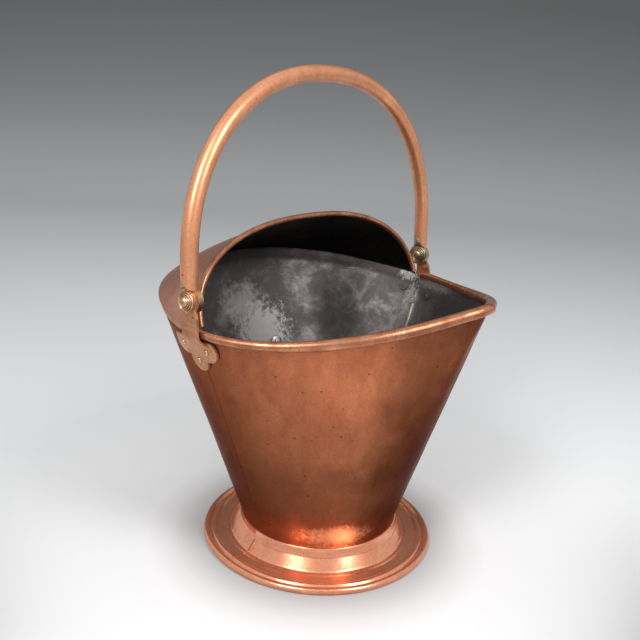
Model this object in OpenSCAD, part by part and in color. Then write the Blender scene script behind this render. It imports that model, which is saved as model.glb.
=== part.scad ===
// Helmet-shaped copper coal scuttle with a swinging bail handle.
// Millimetres. +Z is up, the floor is z = 0, the foot is centred on the origin, the spout points
// along -Y and the bail swings about an axis along X.

/* [Rim] */
// Half of the width of the mouth, to the middle of the rolled bead
rim_half_w = 178; // [160:1:190]
// Reach of the mouth toward the spout, without the beak
rim_front_reach = 165; // [150:1:180]
// Reach of the mouth toward the hood
rim_back_reach = 151; // [140:1:165]
// Fullness of the front half: 2 is an ellipse, less is more pointed
rim_front_power = 1.62; // [1.4:0.01:2]
// Fullness of the back half
rim_back_power = 2.15; // [2:0.01:2.5]
// Extra reach of the beak at the very tip
beak_reach = 7; // [4:0.5:10]
// Half of the width over which the beak is drawn out
beak_half_w = 19; // [14:1:26]
// Height of the lowest point of the rim
rim_low_z = 261; // [240:1:280]
// Place of the lowest point of the rim along Y
rim_low_y = -34; // [-60:1:-10]
// Rise of the rim from its lowest point to the spout, without the beak
spout_rise = 25.5; // [15:0.5:40]
// How late the rim rises toward the spout
spout_rise_power = 2.25; // [1.5:0.05:3]
// Rise of the rim from its lowest point to the back
back_rise = 25; // [15:1:35]
// How late the rim rises toward the back
back_rise_power = 1.7; // [1.2:0.1:2.4]

/* [Body] */
// Thickness of the copper sheet
sheet_t = 1.2; // [0.9:0.1:1.6]
// Outer radius of the straight body where it enters the foot
body_r = 83.1; // [76:0.1:90]
// Height of the top of the foot's neck
neck_top_z = 26.6; // [20:0.1:30]
// Depth of the body's skirt inside the neck
skirt_h = 8; // [6:0.5:10]
// Angles of the left and right side seams, measured round from the spout
seam_turns = [92.6, 90.4]; // [90:0.1:94]
// Outer radius of the rolled bead on the front rim, beside the ears
bead_r = 3.9; // [3:0.1:5]
// How much fuller the bead's radius is round the spout
bead_growth = 1.3; // [0:0.1:1.5]
// Width of the solder line over each side seam
seam_w = 5; // [4:0.5:10]
// Depth of the step pressed in the top of the back panel for the hood's lap
joggle = 0.9; // [0:0.1:1.2]

/* [Hood] */
// Half of the width of the hood's mouth at its base
hood_half_w = 171; // [165:1:174]
// Rise of the hood's edge above its base, measured along its slope
hood_rise = 88; // [70:1:100]
// Fullness of the hood's edge
hood_power = 2.38; // [2:0.02:2.6]
// Angle round from the spout at which the hood starts on each side
hood_turn_0 = 93.2; // [92:0.1:95]
// Height of the base of the hood's edge
hood_base_z = 260.2; // [250:0.1:270]
// Lean of the hood's edge back from upright
hood_lean = 19.2; // [10:0.2:30]
// Outer radius of the rolled edge of the hood
hood_bead_r = 2.6; // [2.2:0.1:3.2]
// Crown of the hood's sheet, as a fraction of its depth
hood_crown = 0.03; // [0:0.01:0.08]
// How far the hood's sheet laps down over the back panel
hood_lap = 7; // [5:0.5:10]

/* [Foot] */
// Outer radius of the foot
foot_r = 124; // [110:0.5:135]
// Radius of the rolled edge that the foot stands on
foot_bead_r = 3.6; // [3:0.1:5]
// Thickness of the floor pan
pan_t = 1.5; // [1:0.1:2]

/* [Bail handle] */
// Half of the distance between the middles of the two legs
bail_half_w = 182.4; // [180:0.1:186]
// Rise of the curved part
bail_rise = 166.2; // [150:0.2:180]
// Length of each straight leg above the pivot
bail_leg = 27.8; // [20:0.2:40]
// Fullness of the curved part
bail_power = 2.22; // [2:0.02:2.5]
// Outer radius of the tube
bail_tube_r = 7.7; // [6:0.05:9]
// Wall of the tube
bail_wall = 1.2; // [1:0.1:1.6]
// Lean of the resting bail back from upright
bail_lean = 2.95; // [0:0.05:6]
// Place along Y of the line from which the legs rise
bail_y = 9.5; // [4:0.5:14]
// Height of the line from which the legs rise
bail_z = 287; // [282:0.5:292]

/* [Pivots] */
// Place along Y of the middle of the hinge's axis
pivot_y = 9; // [4:0.5:14]
// Height of the middle of the hinge's axis
pivot_z = 288.2; // [282:0.2:292]
// Angle by which the axis, set by hand, drops from the left ear to the right one
axis_dip = 0.96; // [0:0.02:1.5]
// Angle by which the axis turns back from the left ear to the right one
axis_turn = 0.3; // [0:0.05:1]
// Radius of the cast eye at each end of the bail
eye_r = 11.4; // [10:0.1:13]
// Thickness of the cast eye
eye_t = 5; // [4:0.2:6]
// Radius of the pivot pin
pin_r = 3.25; // [2.5:0.05:4]
// Radial clearance of the pin in the eye
pin_play = 0.05; // [0.02:0.01:0.09]
// Side clearance between the eye and what is next to it
side_play = 0.15; // [0.1:0.05:0.3]
// Outer radius of the ringed heads
head_r = 10; // [9:0.1:12]
// Height of the ringed heads
head_h = 6.2; // [5:0.1:8]
// Outer radius of the ringed bosses on the inner side
boss_r = 11.4; // [9:0.1:12]
// Height of the ringed bosses
boss_h = 5; // [4:0.2:8]
// Thickness of the brackets
bracket_t = 2.4; // [2:0.1:3]
// Half of the width of a bracket's strip
strip_half_w = 8.2; // [7:0.1:9]
// Place along Y of the middle of a bracket's strip
strip_y = 4.5; // [2:0.5:8]
// Gap between a bracket's plate and the wall
plate_gap = 0.9; // [0.4:0.1:1.5]

/* [Rear grip] */
// Angle round from the spout of the grip's right end
grip_turn = 160; // [155:1:165]
// Height of the grip's ends on the back panel
grip_z = 178; // [160:1:200]
// Reach of the bar from the back panel
grip_reach = 54; // [45:1:60]
// Radius of the grip's bar
grip_r = 6; // [5:0.5:8]
// Radius of the round flanges at the grip's ends
flange_r = 12; // [10:0.5:15]

/* [Hidden] */

copper = "#b4633f";
worn_copper = "#c0764e";
tinned = "#5c5552";
brass = "#a98f5c";
iron = "#4a4643";
solder = "#b9b4a6";

air = 0.05;                 // gap between two pieces that touch
lap_air = 0.3;              // gap in the soldered laps of curved sheets
wire_air = 0.15;            // gap between a wire and the sheet rolled round it
wire_fill = 0.95;           // part of the rolled rim's bore that its wire fills
skirt_z = neck_top_z - skirt_h;
body_in_r = body_r - sheet_t;
eye_in_x = bail_half_w - eye_t / 2;
bracket_in_x = bail_half_w + eye_t / 2 + side_play;
bracket_out_x = bracket_in_x + bracket_t;
bail_bore_r = bail_tube_r - bail_wall;
fine = 72;                  // facets of a full turn on round parts

// ---------------------------------------------------------------- small vector helpers
function unit(v) = v / norm(v);
function signed_pow(v, e) = sign(v) * pow(abs(v), e);
function blend(a, b, f) = a + (b - a) * f;
function ease(f) = f <= 0 ? 0 : f >= 1 ? 1 : f * f * (3 - 2 * f);
function reversed(list) = [for (i = [len(list) - 1:-1:0]) list[i]];

// ---------------------------------------------------------------- body surface
// The mouth is egg-shaped: a full half toward the hood, a pointed one with a beak at the spout.
function rim_power(t) = cos(t) > 0 ? rim_front_power : rim_back_power;
function rim_reach(t) = cos(t) > 0 ? rim_front_reach : rim_back_reach;
function rim_x(t) = rim_half_w * signed_pow(sin(t), 2 / rim_power(t));
function beak(t) = cos(t) > 0 ? beak_reach * exp(-pow(rim_x(t) / beak_half_w, 2)) : 0;
function rim_y(t) = -rim_reach(t) * signed_pow(cos(t), 2 / rim_power(t)) - beak(t);
beak_start = 4;             // how late the wall flares out into the beak
function rim_z(y) = y < rim_low_y
    ? rim_low_z + spout_rise * pow((rim_low_y - y) / (rim_low_y + rim_front_reach), spout_rise_power)
    : rim_low_z + back_rise * pow((y - rim_low_y) / (rim_back_reach - rim_low_y), back_rise_power);
function rim_spot(t) = [rim_x(t), rim_y(t), rim_z(rim_y(t))];
function ring_at(r, z, t) = [r * sin(t), -r * cos(t), z];

// Frame at a station of the rim: outward normal n and upward direction s, both square to the rim.
function rim_tangent(t) = unit(rim_spot(t + 0.5) - rim_spot(t - 0.5));
function rim_slope(t) = unit(rim_spot(t) - ring_at(body_r, neck_top_z, t));
function rim_normal(t) = unit(cross(rim_tangent(t), rim_slope(t)));
function rim_up(t) = unit(cross(rim_normal(t), rim_tangent(t)));
function rim_section(t, n, s) = rim_spot(t) + n * rim_normal(t) + s * rim_up(t);

// Point of the wall at fraction f of its height and depth d below its outer surface.
function wall_foot(t, d) = ring_at(body_r - d, neck_top_z, t);
function turn_off(t) = abs(t) > 180 ? 360 - abs(t) : abs(t);
function bead_at(t) = bead_r + bead_growth * ease((75 - turn_off(t)) / 30);
function wall_head(t, d) = rim_section(t, -d, -bead_at(t));
function wall_spot(t, f, d) =
    blend(wall_foot(t, d), wall_head(t, d), f) + [0, beak(t) * (f - pow(f, beak_start)), 0];

// Outward normal of the wall, and a search for the place of a given y and height on it.
function wall_normal(t, f) = unit(cross(
    wall_spot(t + 0.5, f, 0) - wall_spot(t - 0.5, f, 0),
    wall_spot(t, f + 0.01, 0) - wall_spot(t, f - 0.01, 0)
));
function wall_f(t, z) = (z - neck_top_z) / (wall_head(t, 0)[2] - neck_top_z);
function wall_y(t, z) = wall_spot(t, wall_f(t, z), 0)[1];
function seek_turn(y, z, t, tries) = tries == 0
    ? t
    : seek_turn(y, z, t + (y - wall_y(t, z)) / (wall_y(t + 1, z) - wall_y(t, z)), tries - 1);

// Angles of the roll of a wired edge, from inside the wall over the top to just outside it.
roll_turns = [for (a = [236:-31:-75]) a];
function roll_start(r, t) = [-t, -sqrt(r * r - t * t)];

// ---------------------------------------------------------------- solids from stations
// A sheet is a row of stations. Each station is [one face's points, the other face's points].
module sheet(stations) {
    half = len(stations[0][0]);
    count = 2 * half;
    last = len(stations) - 1;
    points = [for (st = stations) each concat(st[0], reversed(st[1]))];
    sides = [
        for (i = [0:last - 1], j = [0:count - 1])
            let (k = (j + 1) % count, a = i * count, b = a + count)
                each [[a + j, b + j, b + k], [a + j, b + k, a + k]]
    ];
    cap_first = [
        for (k = [0:half - 2])
            each [[k, k + 1, count - 2 - k], [k, count - 2 - k, count - 1 - k]]
    ];
    shift = last * count;
    cap_last = [for (f = cap_first) [f[2] + shift, f[1] + shift, f[0] + shift]];
    polyhedron(points = points, faces = concat(sides, cap_first, cap_last), convexity = 10);
}

// A solid rod from rings of points.
module rod(rings) {
    count = len(rings[0]);
    last = len(rings) - 1;
    points = [for (r = rings) each r];
    sides = [
        for (i = [0:last - 1], j = [0:count - 1])
            let (k = (j + 1) % count, a = i * count, b = a + count)
                each [[a + j, b + k, b + j], [a + j, a + k, b + k]]
    ];
    polyhedron(
        points = points,
        faces = concat(
            sides,
            [[for (j = [count - 1:-1:0]) j]],
            [[for (j = [0:count - 1]) last * count + j]]
        ),
        convexity = 10
    );
}

module mirror_if(wanted) {
    if (wanted) mirror([1, 0, 0]) children();
    else children();
}

// ---------------------------------------------------------------- body
wall_rows = [0, 0.25, 0.5, 0.75, 1];

// Front sheet: skirt, straight wall, and its top edge rolled round the rim wire.
function front_station(t) =
    let (
        r = bead_at(t),
        start = roll_start(r, sheet_t),
        inner_wall = [for (f = wall_rows) if (f < 1) wall_spot(t, f, sheet_t)],
        outer_wall = [for (f = wall_rows) if (f < 1) wall_spot(t, f, 0)]
    )
    [
        concat(
            [ring_at(body_in_r, skirt_z, t)], inner_wall,
            [rim_section(t, start[0], start[1])],
            [for (a = roll_turns) rim_section(t, r * cos(a), r * sin(a))]
        ),
        concat(
            [ring_at(body_r, skirt_z, t)], outer_wall,
            [rim_section(t, 0, -(r - sheet_t))],
            [for (a = roll_turns) rim_section(t, (r - sheet_t) * cos(a), (r - sheet_t) * sin(a))]
        )
    ];

module front_panel() {
    steps = 62;
    color(copper) difference() {
        sheet([for (i = [0:steps]) front_station(blend(-seam_turns[0], seam_turns[1], i / steps))]);
        bracket_rivet_holes(0);
        bracket_rivet_holes(1);
    }
}

// Back sheet: skirt and straight wall, set in at the top where the hood laps over it.
function back_face(t, r, d) = concat(
    [ring_at(r, skirt_z, t)],
    [for (f = wall_rows) blend(wall_foot(t, d), rim_section(t, -d, -hood_lap - 4), f)],
    [rim_section(t, -d - joggle, -hood_lap - 2), rim_section(t, -d - joggle, -1)]
);
function back_station(t) = [back_face(t, body_in_r, sheet_t), back_face(t, body_r, 0)];

module back_panel() {
    steps = 58;
    color(copper) difference() {
        sheet([
            for (i = [0:steps])
                back_station(blend(seam_turns[1] + air, 360 - seam_turns[0] - air, i / steps))
        ]);
        bracket_rivet_holes(0);
        bracket_rivet_holes(1);
        for (side = [-1, 1])
            on_grip_seat(side) translate([0, 0, -5]) cylinder(r = grip_rivet_r + air, h = 10, $fn = 24);
    }
}

// Solder line over a side seam, inside the body.
function seam_station(t, f) =
    let (spot = wall_spot(t, f, sheet_t + lap_air / 2), out = rim_normal(t))
    [spot, spot - 0.5 * out];

module seam_solder(side) {
    t0 = side * seam_turns[side < 0 ? 0 : 1];
    color(solder) difference() {
        sheet([
            for (f = [0.02:0.07:0.93])
                let (
                    w = asin(seam_w / 2 / blend(body_r, rim_half_w, f)) * (1 + 0.25 * sin(f * 2300)),
                    a = seam_station(t0 - side * w, f),
                    m = seam_station(t0, f),
                    b = seam_station(t0 + side * w, f)
                )
                    side > 0
                        ? [[a[0], m[0], b[0]], [a[1], m[1], b[1]]]
                        : [[b[0], m[0], a[0]], [b[1], m[1], a[1]]]
        ]);
        bracket_rivet_holes(side < 0 ? 0 : 1);
    }
}

// Iron wire inside the rolled front rim.
module front_rim_wire() {
    steps = 62;
    color(iron) rod([
        for (i = [0:steps])
            let (
                t = blend(-seam_turns[0], seam_turns[1], i / steps),
                wire_r = wire_fill * (bead_at(t) - sheet_t)
            )
                [for (a = [0:36:324]) rim_section(t, wire_r * cos(a), wire_r * sin(a))]
    ]);
}

// ---------------------------------------------------------------- hood
// The hood's edge is an arch that leans back. Its sheet runs straight from there to the back rim.
hood_first = 2.4;           // degrees of the arch left out at each end
hood_base_y = 6.1;
function hood_edge(p) =
    let (rise = hood_rise * pow(abs(sin(p)), 2 / hood_power))
    [
        hood_half_w * signed_pow(cos(p), 2 / hood_power),
        hood_base_y + rise * sin(hood_lean),
        hood_base_z + rise * cos(hood_lean)
    ];
function hood_turn(p) = p <= 90
    ? hood_turn_0 + (180 - hood_turn_0) * (1 - cos(p))
    : 360 - hood_turn(180 - p);
function hood_tangent(p) = unit(hood_edge(p + 0.5) - hood_edge(p - 0.5));
function hood_chord(p) = hood_edge(p) - rim_spot(hood_turn(p));
function hood_normal(p) = unit(cross(hood_tangent(p), unit(hood_chord(p))));
function hood_up(p) = unit(cross(hood_normal(p), hood_tangent(p)));
function hood_section(p, n, s) = hood_edge(p) + n * hood_normal(p) + s * hood_up(p);
function hood_foot(p, d) =
    let (t = hood_turn(p))
    rim_section(t, sheet_t + lap_air - joggle - d, 0.6);
function hood_spot(p, f, d) =
    blend(hood_foot(p, d), hood_section(p, -d, -hood_bead_r), f)
    + hood_crown * norm(hood_chord(p)) * sin(180 * pow(f, 0.8)) * hood_normal(p);

function hood_station(p) =
    let (
        t = hood_turn(p),
        start = roll_start(hood_bead_r, sheet_t),
        rows = [0, 0.2, 0.4, 0.6, 0.8]
    )
    [
        concat(
            [rim_section(t, lap_air - joggle, -hood_lap)],
            [for (f = rows) hood_spot(p, f, sheet_t)],
            [hood_section(p, start[0], start[1])],
            [for (a = roll_turns) hood_section(p, hood_bead_r * cos(a), hood_bead_r * sin(a))]
        ),
        concat(
            [rim_section(t, lap_air - joggle + sheet_t, -hood_lap)],
            [for (f = rows) hood_spot(p, f, 0)],
            [hood_section(p, 0, -(hood_bead_r - sheet_t))],
            [for (a = roll_turns)
                hood_section(p, (hood_bead_r - sheet_t) * cos(a), (hood_bead_r - sheet_t) * sin(a))]
        )
    ];

module hood() {
    steps = 56;
    color(worn_copper)
        sheet([for (i = [0:steps]) hood_station(blend(hood_first, 180 - hood_first, i / steps))]);
}

module hood_edge_wire() {
    steps = 56;
    wire_r = hood_bead_r - sheet_t - wire_air;
    color(iron) rod([
        for (i = [0:steps])
            let (p = blend(hood_first, 180 - hood_first, i / steps))
                [for (a = [0:45:315]) hood_section(p, wire_r * cos(a), wire_r * sin(a))]
    ]);
}

// ---------------------------------------------------------------- foot
// Outer line of the moulded skirt, from the neck down to the rolled edge, as [radius, height].
neck_r = body_r + 0.1 + sheet_t;
cone_top_z = 21.3;          // height at which the neck starts to spread into the foot
flat_turn = 15;             // half of the angle of the roll that is worn flat underneath
edge_c = [foot_r - foot_bead_r, foot_bead_r * cos(flat_turn)];
foot_line = concat(
    [[neck_r, neck_top_z], [neck_r, cone_top_z], [93.8, 7.4], [94.8, 6.2], [96.1, 5.5]],
    [[97.3, 5.9], [98.4, 6.0], [99.4, 5.7], [100.5, 5.1], [102, 4.8], [109, 4.8]],
    [for (a = [150:-30:30]) [112.6 + 3.2 * cos(a), 4.6 + 2.3 * sin(a)]],
    [[116.4, 4.4]],
    [for (a = [150:-15:flat_turn - 90]) edge_spot(a)],
    [edge_spot(-90 - flat_turn)]
);
groove = 15;                // place in that line of the side of the groove inside the edge
function edge_spot(a) = edge_c + foot_bead_r * [cos(a), sin(a)];

// Square offset of an open line by d to its right-hand side.
function line_normal(line, i) =
    let (
        a = line[max(i - 1, 0)], b = line[min(i + 1, len(line) - 1)],
        v = (b - a) / norm(b - a)
    )
    [v[1], -v[0]];
function offset_line(line, d) = [for (i = [0:len(line) - 1]) line[i] + d * line_normal(line, i)];

module foot_skirt() {
    color(copper) rotate_extrude($fn = fine * 2)
        polygon(concat(foot_line, reversed(offset_line(foot_line, sheet_t))));
}

module foot_edge_wire() {
    color(iron) rotate_extrude($fn = fine * 2)
        translate(edge_c) circle(r = edge_c[1] - sheet_t - wire_air, $fn = 20);
}

// The skirt's strip is closed by a lapped joint: a second thickness that thins out behind it.
lap_turn = 170.6;           // angle from +X of the joint's raised edge
lap_len = 16;               // degrees that the lap covers
function lap_face(lap, f, outer) = [
    for (q = offset_line(lap, -air - outer * blend(0.9, 0.15, f)))
        let (a = lap_turn - lap_len * f) [q[0] * cos(a), q[0] * sin(a), q[1]]
];

module foot_lap_joint() {
    lap = concat([[neck_r, neck_top_z - 0.5]], [for (i = [1:groove]) foot_line[i]]);
    color(copper) sheet([for (i = [0:8]) [lap_face(lap, i / 8, 0), lap_face(lap, i / 8, 1)]]);
}

// Strap round the neck, from the lapped joint round the front and open toward the back.
band_gap = 45;              // degrees between the strap's ends
band_low = [86.9, 18.1];    // inner edge of the strap, on the spread of the neck
module neck_band() {
    in = neck_r + air;
    top = neck_top_z + 0.2;
    color(worn_copper) difference() {
        rotate_extrude($fn = fine * 2) polygon([
            [in, top], [in, cone_top_z + 0.1], band_low, band_low + [1.2, 0.2],
            band_low + [1.3, 0.7], [in + 2.3, 21.6], [in + 1.3, 24.6], [in + 0.9, 26.2],
            [in + 0.4, top]
        ]);
        rotate([0, 0, lap_turn - band_gap]) rotate_extrude(angle = band_gap + 0.2)
            translate([neck_r - 2, band_low[1] - 2]) square([8, skirt_h + 6]);
    }
}

// Floor pan let into the body's skirt, with its flange turned down.
module floor_pan() {
    pan_r = body_in_r - air;
    color(tinned) rotate_extrude($fn = fine) polygon([
        [0, neck_top_z - 3], [pan_r - 3, neck_top_z - 1.5], [pan_r, neck_top_z - 3],
        [pan_r, skirt_z - 4], [pan_r - pan_t, skirt_z - 4], [pan_r - pan_t, neck_top_z - 3.8],
        [pan_r - 3.6, neck_top_z - 1.5 - pan_t], [0, neck_top_z - 3 - pan_t]
    ]);
}

// ---------------------------------------------------------------- bail
// The tube is built upright over the line of its feet and then leaned back.
module bail_frame() {
    translate([0, bail_y, bail_z]) rotate([-bail_lean, 0, 0]) children();
}

// Frame of the hinge's axis, which lies along X in it.
module on_axis() {
    translate([0, pivot_y, pivot_z]) rotate([0, axis_dip, axis_turn]) children();
}

mouth_low = 2;              // height of the tip of the tube's front side above its foot
mouth_h = 20;               // how much higher the back side is cut
bail_steps = 56;

function bail_spot(u) = u < 0
    ? [-bail_half_w, 0, bail_leg + u]
    : u > 180
        ? [bail_half_w, 0, bail_leg - (u - 180)]
        : [-bail_half_w * signed_pow(cos(u), 2 / bail_power), 0,
           bail_leg + bail_rise * pow(abs(sin(u)), 2 / bail_power)];
function bail_tangent(u) = unit(bail_spot(u + 0.3) - bail_spot(u - 0.3));
function bail_ring(u, r, sides) =
    let (out = cross(bail_tangent(u), [0, 1, 0]))
    [for (k = [0:sides - 1]) bail_spot(u) + r * (cos(k * 360 / sides) * out
        + sin(k * 360 / sides) * [0, 1, 0])];
bail_stations = concat(
    [-(bail_leg - mouth_low), -(bail_leg - mouth_low) / 2],
    [for (i = [0:bail_steps]) 180 * i / bail_steps],
    [180 + (bail_leg - mouth_low) / 2, 180 + (bail_leg - mouth_low)]
);

// Side view of what is cut from the end of the tube, smaller by gap: a quarter ellipse that
// leaves a tongue on the front side.
module mouth_outline(gap) {
    w = 2 * bail_tube_r - gap;
    polygon(concat(
        [for (a = [0:9:90]) [bail_tube_r - w * cos(a), mouth_low + (mouth_h - gap) * sin(a)]],
        [[20, mouth_low + mouth_h - gap], [20, -20], [bail_tube_r - w, -20]]
    ));
}

module along_x() {
    rotate([90, 0, 90]) children();
}

module bail_tube() {
    outer = [for (u = bail_stations) bail_ring(u, bail_tube_r, 24)];
    inner = [for (u = bail_stations) bail_ring(u, bail_bore_r, 24)];
    count = 24;
    last = len(outer) - 1;
    base = (last + 1) * count;
    walls = [
        for (i = [0:last - 1], j = [0:count - 1])
            let (k = (j + 1) % count, a = i * count, b = a + count)
                each [
                    [a + j, b + k, b + j], [a + j, a + k, b + k],
                    [base + a + j, base + b + j, base + b + k],
                    [base + a + j, base + b + k, base + a + k]
                ]
    ];
    ends = [
        for (j = [0:count - 1])
            let (k = (j + 1) % count, z = last * count)
                each [
                    [j, base + j, base + k], [j, base + k, k],
                    [z + j, base + z + k, base + z + j], [z + j, z + k, base + z + k]
                ]
    ];
    color(worn_copper) difference() {
        bail_frame() difference() {
            polyhedron(
                points = concat([for (r = outer) each r], [for (r = inner) each r]),
                faces = concat(walls, ends), convexity = 10
            );
            for (side = [-1, 1]) translate([side * bail_half_w - 12, 0, 0])
                along_x() linear_extrude(24) mouth_outline(0);
        }
        for (side = [-1, 1]) cheek_cuts(side, head_r + 0.6);
    }
}

// What is cut from both faces of each end of the bail: the inner face clears the boss, and the
// outer one the bracket and the head.
cheek_r = 12.2;
module cheek_cuts(side, outer_r) {
    depth = 20;
    on_axis() translate([side * bail_half_w, 0, 0])
        for (x = [-depth, eye_t / 2]) translate([x, 0, 0]) along_x()
            cylinder(r = x * side > 0 ? outer_r : cheek_r, h = depth - eye_t / 2, $fn = fine);
}

// Cast end of the bail: a spigot inside the tube, a shoulder that fills the mouth, and the eye.
module bail_eye(side) {
    eye_x = side * bail_half_w;
    color(brass) difference() {
        union() {
            difference() {
                on_axis() translate([eye_x - eye_t / 2, 0, 0]) along_x()
                    cylinder(r = eye_r, h = eye_t, $fn = fine);
                difference() {
                    on_leg(side) cylinder(r = bail_tube_r + 0.15, h = bail_leg, $fn = 48);
                    in_mouth(side);
                }
            }
            on_leg(side) cylinder(r = bail_bore_r - 0.12, h = bail_leg - mouth_low, $fn = 48);
            intersection() {
                on_leg(side) cylinder(r = bail_tube_r - 0.1, h = bail_leg, $fn = 48);
                in_mouth(side);
            }
        }
        cheek_cuts(side, cheek_r);
        on_axis() translate([eye_x - 20, 0, 0]) along_x()
            cylinder(r = pin_r + pin_play, h = 40, $fn = 48);
    }
}

// Room in the mouth of one leg, below what is left of the tube.
module in_mouth(side) {
    bail_frame() translate([side * bail_half_w - 12, 0, 0]) along_x()
        linear_extrude(24) mouth_outline(0.2);
}

// Foot of one leg of the tube, with +Z up the leg.
module on_leg(side) {
    bail_frame() translate([side * bail_half_w, 0, mouth_low - 0.1]) children();
}

// ---------------------------------------------------------------- pivots
boss_x = eye_in_x - side_play;
tail_x = boss_x - boss_h + 1.8;     // inner end of the pin

// Place on the hinge's axis, x out from the middle toward one side, with +Z pointing out.
module on_pivot(side, x) {
    on_axis() mirror_if(side < 0) translate([x, 0, 0]) along_x() children();
}

// Half outline of a beehive head of unit radius and height: a flange, stepped rings and a dome.
dome_r = 0.43;
dome_h = 0.41;
head_line = concat(
    [for (a = [90:-20:10]) [dome_r * cos(a), 1 - dome_h + dome_h * sin(a)]],
    [
        for (ring = [0:2], a = [150:-45:-30])
            [0.5 + 0.165 * ring + 0.075 * cos(a), 0.42 - 0.12 * ring + 0.2 * sin(a)]
    ],
    [[0.93, 0.14], [1, 0.14], [1, 0], [0, 0]]
);

module beehive(r, h) {
    rotate_extrude($fn = fine) polygon([for (q = head_line) [q[0] * r, q[1] * h]]);
}

// Pin: ringed head outside the bracket, shank through bracket, eye and inner boss.
module pivot_pin(side) {
    color(brass) union() {
        on_pivot(side, bracket_out_x + air) beehive(head_r, head_h);
        on_pivot(side, tail_x)
            cylinder(r = pin_r, h = bracket_out_x + air - tail_x + 0.5, $fn = 48);
    }
}

// Ringed boss riveted on the inner end of the pin.
module inner_boss(side) {
    color(brass) difference() {
        on_pivot(side, boss_x) mirror([0, 0, 1]) beehive(boss_r, boss_h);
        on_pivot(side, tail_x - 0.1) cylinder(r = pin_r + 0.02, h = boss_h, $fn = 48);
    }
}

// ---------------------------------------------------------------- brackets
// Near the ears the wall is close to a cone, and the plates are bent to that cone.
ear_cone_r = 123.5;         // radius of the cone at the height of the rim
ear_cone_y = 2;
ear_rim_z = 262.6;
ear_slope = 0.398;
ear_cone_x = rim_half_w - ear_cone_r - 0.15;
rivet_r = 1.7;
rivet_head_r = 2.9;
rivet_seat = plate_gap + bracket_t - 0.1;   // height of the rivet heads' seats above the wall
// Rivets of the left and right brackets as [y, height]: front, rear and lower
rivets = [
    [[-2.2, 247], [28.3, 248.6], [10.7, 235.8]],
    [[-15, 241], [19, 246], [3, 233.5]]
];

module ear_cone(out) {
    low = 200;
    high = 280;
    translate([ear_cone_x, ear_cone_y, low])
        cylinder(
            r1 = ear_cone_r + out - ear_slope * (ear_rim_z - low),
            r2 = ear_cone_r + out + ear_slope * (high - ear_rim_z),
            h = high - low, $fn = 180
        );
}

// Place and lean of one rivet on the outside of the right wall, with +Z pointing out.
module on_rivet(spot) {
    t = seek_turn(spot[0], spot[1], 94, 5);
    on_wall(t, wall_f(t, spot[1])) children();
}

module on_wall(t, f) {
    out = wall_normal(t, f);
    translate(wall_spot(t, f, 0)) rotate([0, acos(out[2]), atan2(out[1], out[0])]) children();
}

// Scalloped outline of a bracket's plate, seen from its side: a lobe round each rivet, a web
// between them and shoulders that run up into the strip.
module bracket_outline(spots) {
    front = spots[0];
    rear = spots[1];
    low = spots[2];
    difference() {
        union() {
            translate(front) circle(r = 11.5, $fn = 48);
            translate(rear) circle(r = 11, $fn = 48);
            translate(low - [0, 1]) circle(r = 10.5, $fn = 48);
            polygon([front, low, rear, [strip_y + 9.5, 257], [strip_y - 9.5, 257]]);
            polygon([[front[0], 238], [rear[0], 238], [rear[0] + 5, 256], [front[0] - 5, 256]]);
        }
        translate([low[0] - 60, 256]) square([120, 60]);
    }
}

// Side profile of the strip, as the x of its middle at height z: out over the bead, then up.
strip_bulge_x = 186.6;
strip_dip_x = 185.5;
function plate_x(z) =
    rim_half_w + plate_gap - ear_slope * (ear_rim_z - z) + bracket_t / 2 / cos(atan(ear_slope));
function strip_x(z) = z < 265
    ? blend(plate_x(z), strip_bulge_x, ease((z - 249) / 14))
    : z < 270.5
        ? blend(strip_bulge_x, strip_dip_x, ease((z - 265.5) / 5))
        : blend(strip_dip_x, bracket_in_x + bracket_t / 2, ease((z - 270.5) / 3.5));
strip_rows = [for (z = [246:1:275]) z];
strip_turn_h = 15;          // how far below the pivot the strip starts to lean toward it

// Side view of the strip: it flares down into the plate, and leans from there to the pivot.
module strip_outline(spot) {
    half_w = function (z) strip_half_w + 1.5 * ease((272 - z) / 14) + 4 * ease((258 - z) / 12);
    middle = function (z)
        blend(strip_y, spot[1], ease((z - spot[2] + strip_turn_h) / (strip_turn_h - 5)));
    rows = [for (z = [246:2:spot[2]]) z];
    polygon(concat(
        [for (z = rows) [middle(z) + half_w(z), z]],
        [for (z = reversed(rows)) [middle(z) - half_w(z), z]]
    ));
}

// Place of the pivot at one ear.
function pivot_spot(side) =
    let (x = side * bracket_out_x)
    [x * cos(axis_dip), pivot_y + x * sin(axis_turn), pivot_z - x * sin(axis_dip)];

// The plate and strip are drawn for the right side and mirrored for the left one.
module bracket(side) {
    spots = rivets[side < 0 ? 0 : 1];
    color(brass) difference() {
        union() {
            mirror_if(side < 0) bracket_plate(spots);
            mirror_if(side < 0) bracket_strip(pivot_spot(side));
            on_pivot(side, bracket_in_x) cylinder(r = bracket_disc_r, h = bracket_t, $fn = fine);
        }
        on_pivot(side, bracket_in_x - 5) cylinder(r = pin_r + 0.02, h = 20, $fn = 48);
        on_pivot(side, bracket_in_x - 10) cylinder(r = cheek_r, h = 10, $fn = fine);
        on_pivot(side, bracket_out_x) cylinder(r = head_r + 0.2, h = 10, $fn = fine);
        mirror_if(side < 0) for (spot = spots) on_rivet(spot) {
            translate([0, 0, -10]) cylinder(r = rivet_r + 0.03, h = 20, $fn = 32);
            translate([0, 0, rivet_seat]) cylinder(r = rivet_head_r + 0.2, h = 8, $fn = 32);
        }
        if (side < 0) mirror([1, 0, 0]) translate([bracket_in_x - 5, spare_hole[0], spare_hole[1]])
            along_x() cylinder(r = 0.9, h = 12, $fn = 24);
    }
}

bracket_disc_r = 9.6;
spare_hole = [1.2, 278.6];  // small empty hole in the left strip, as [y, height]

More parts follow.
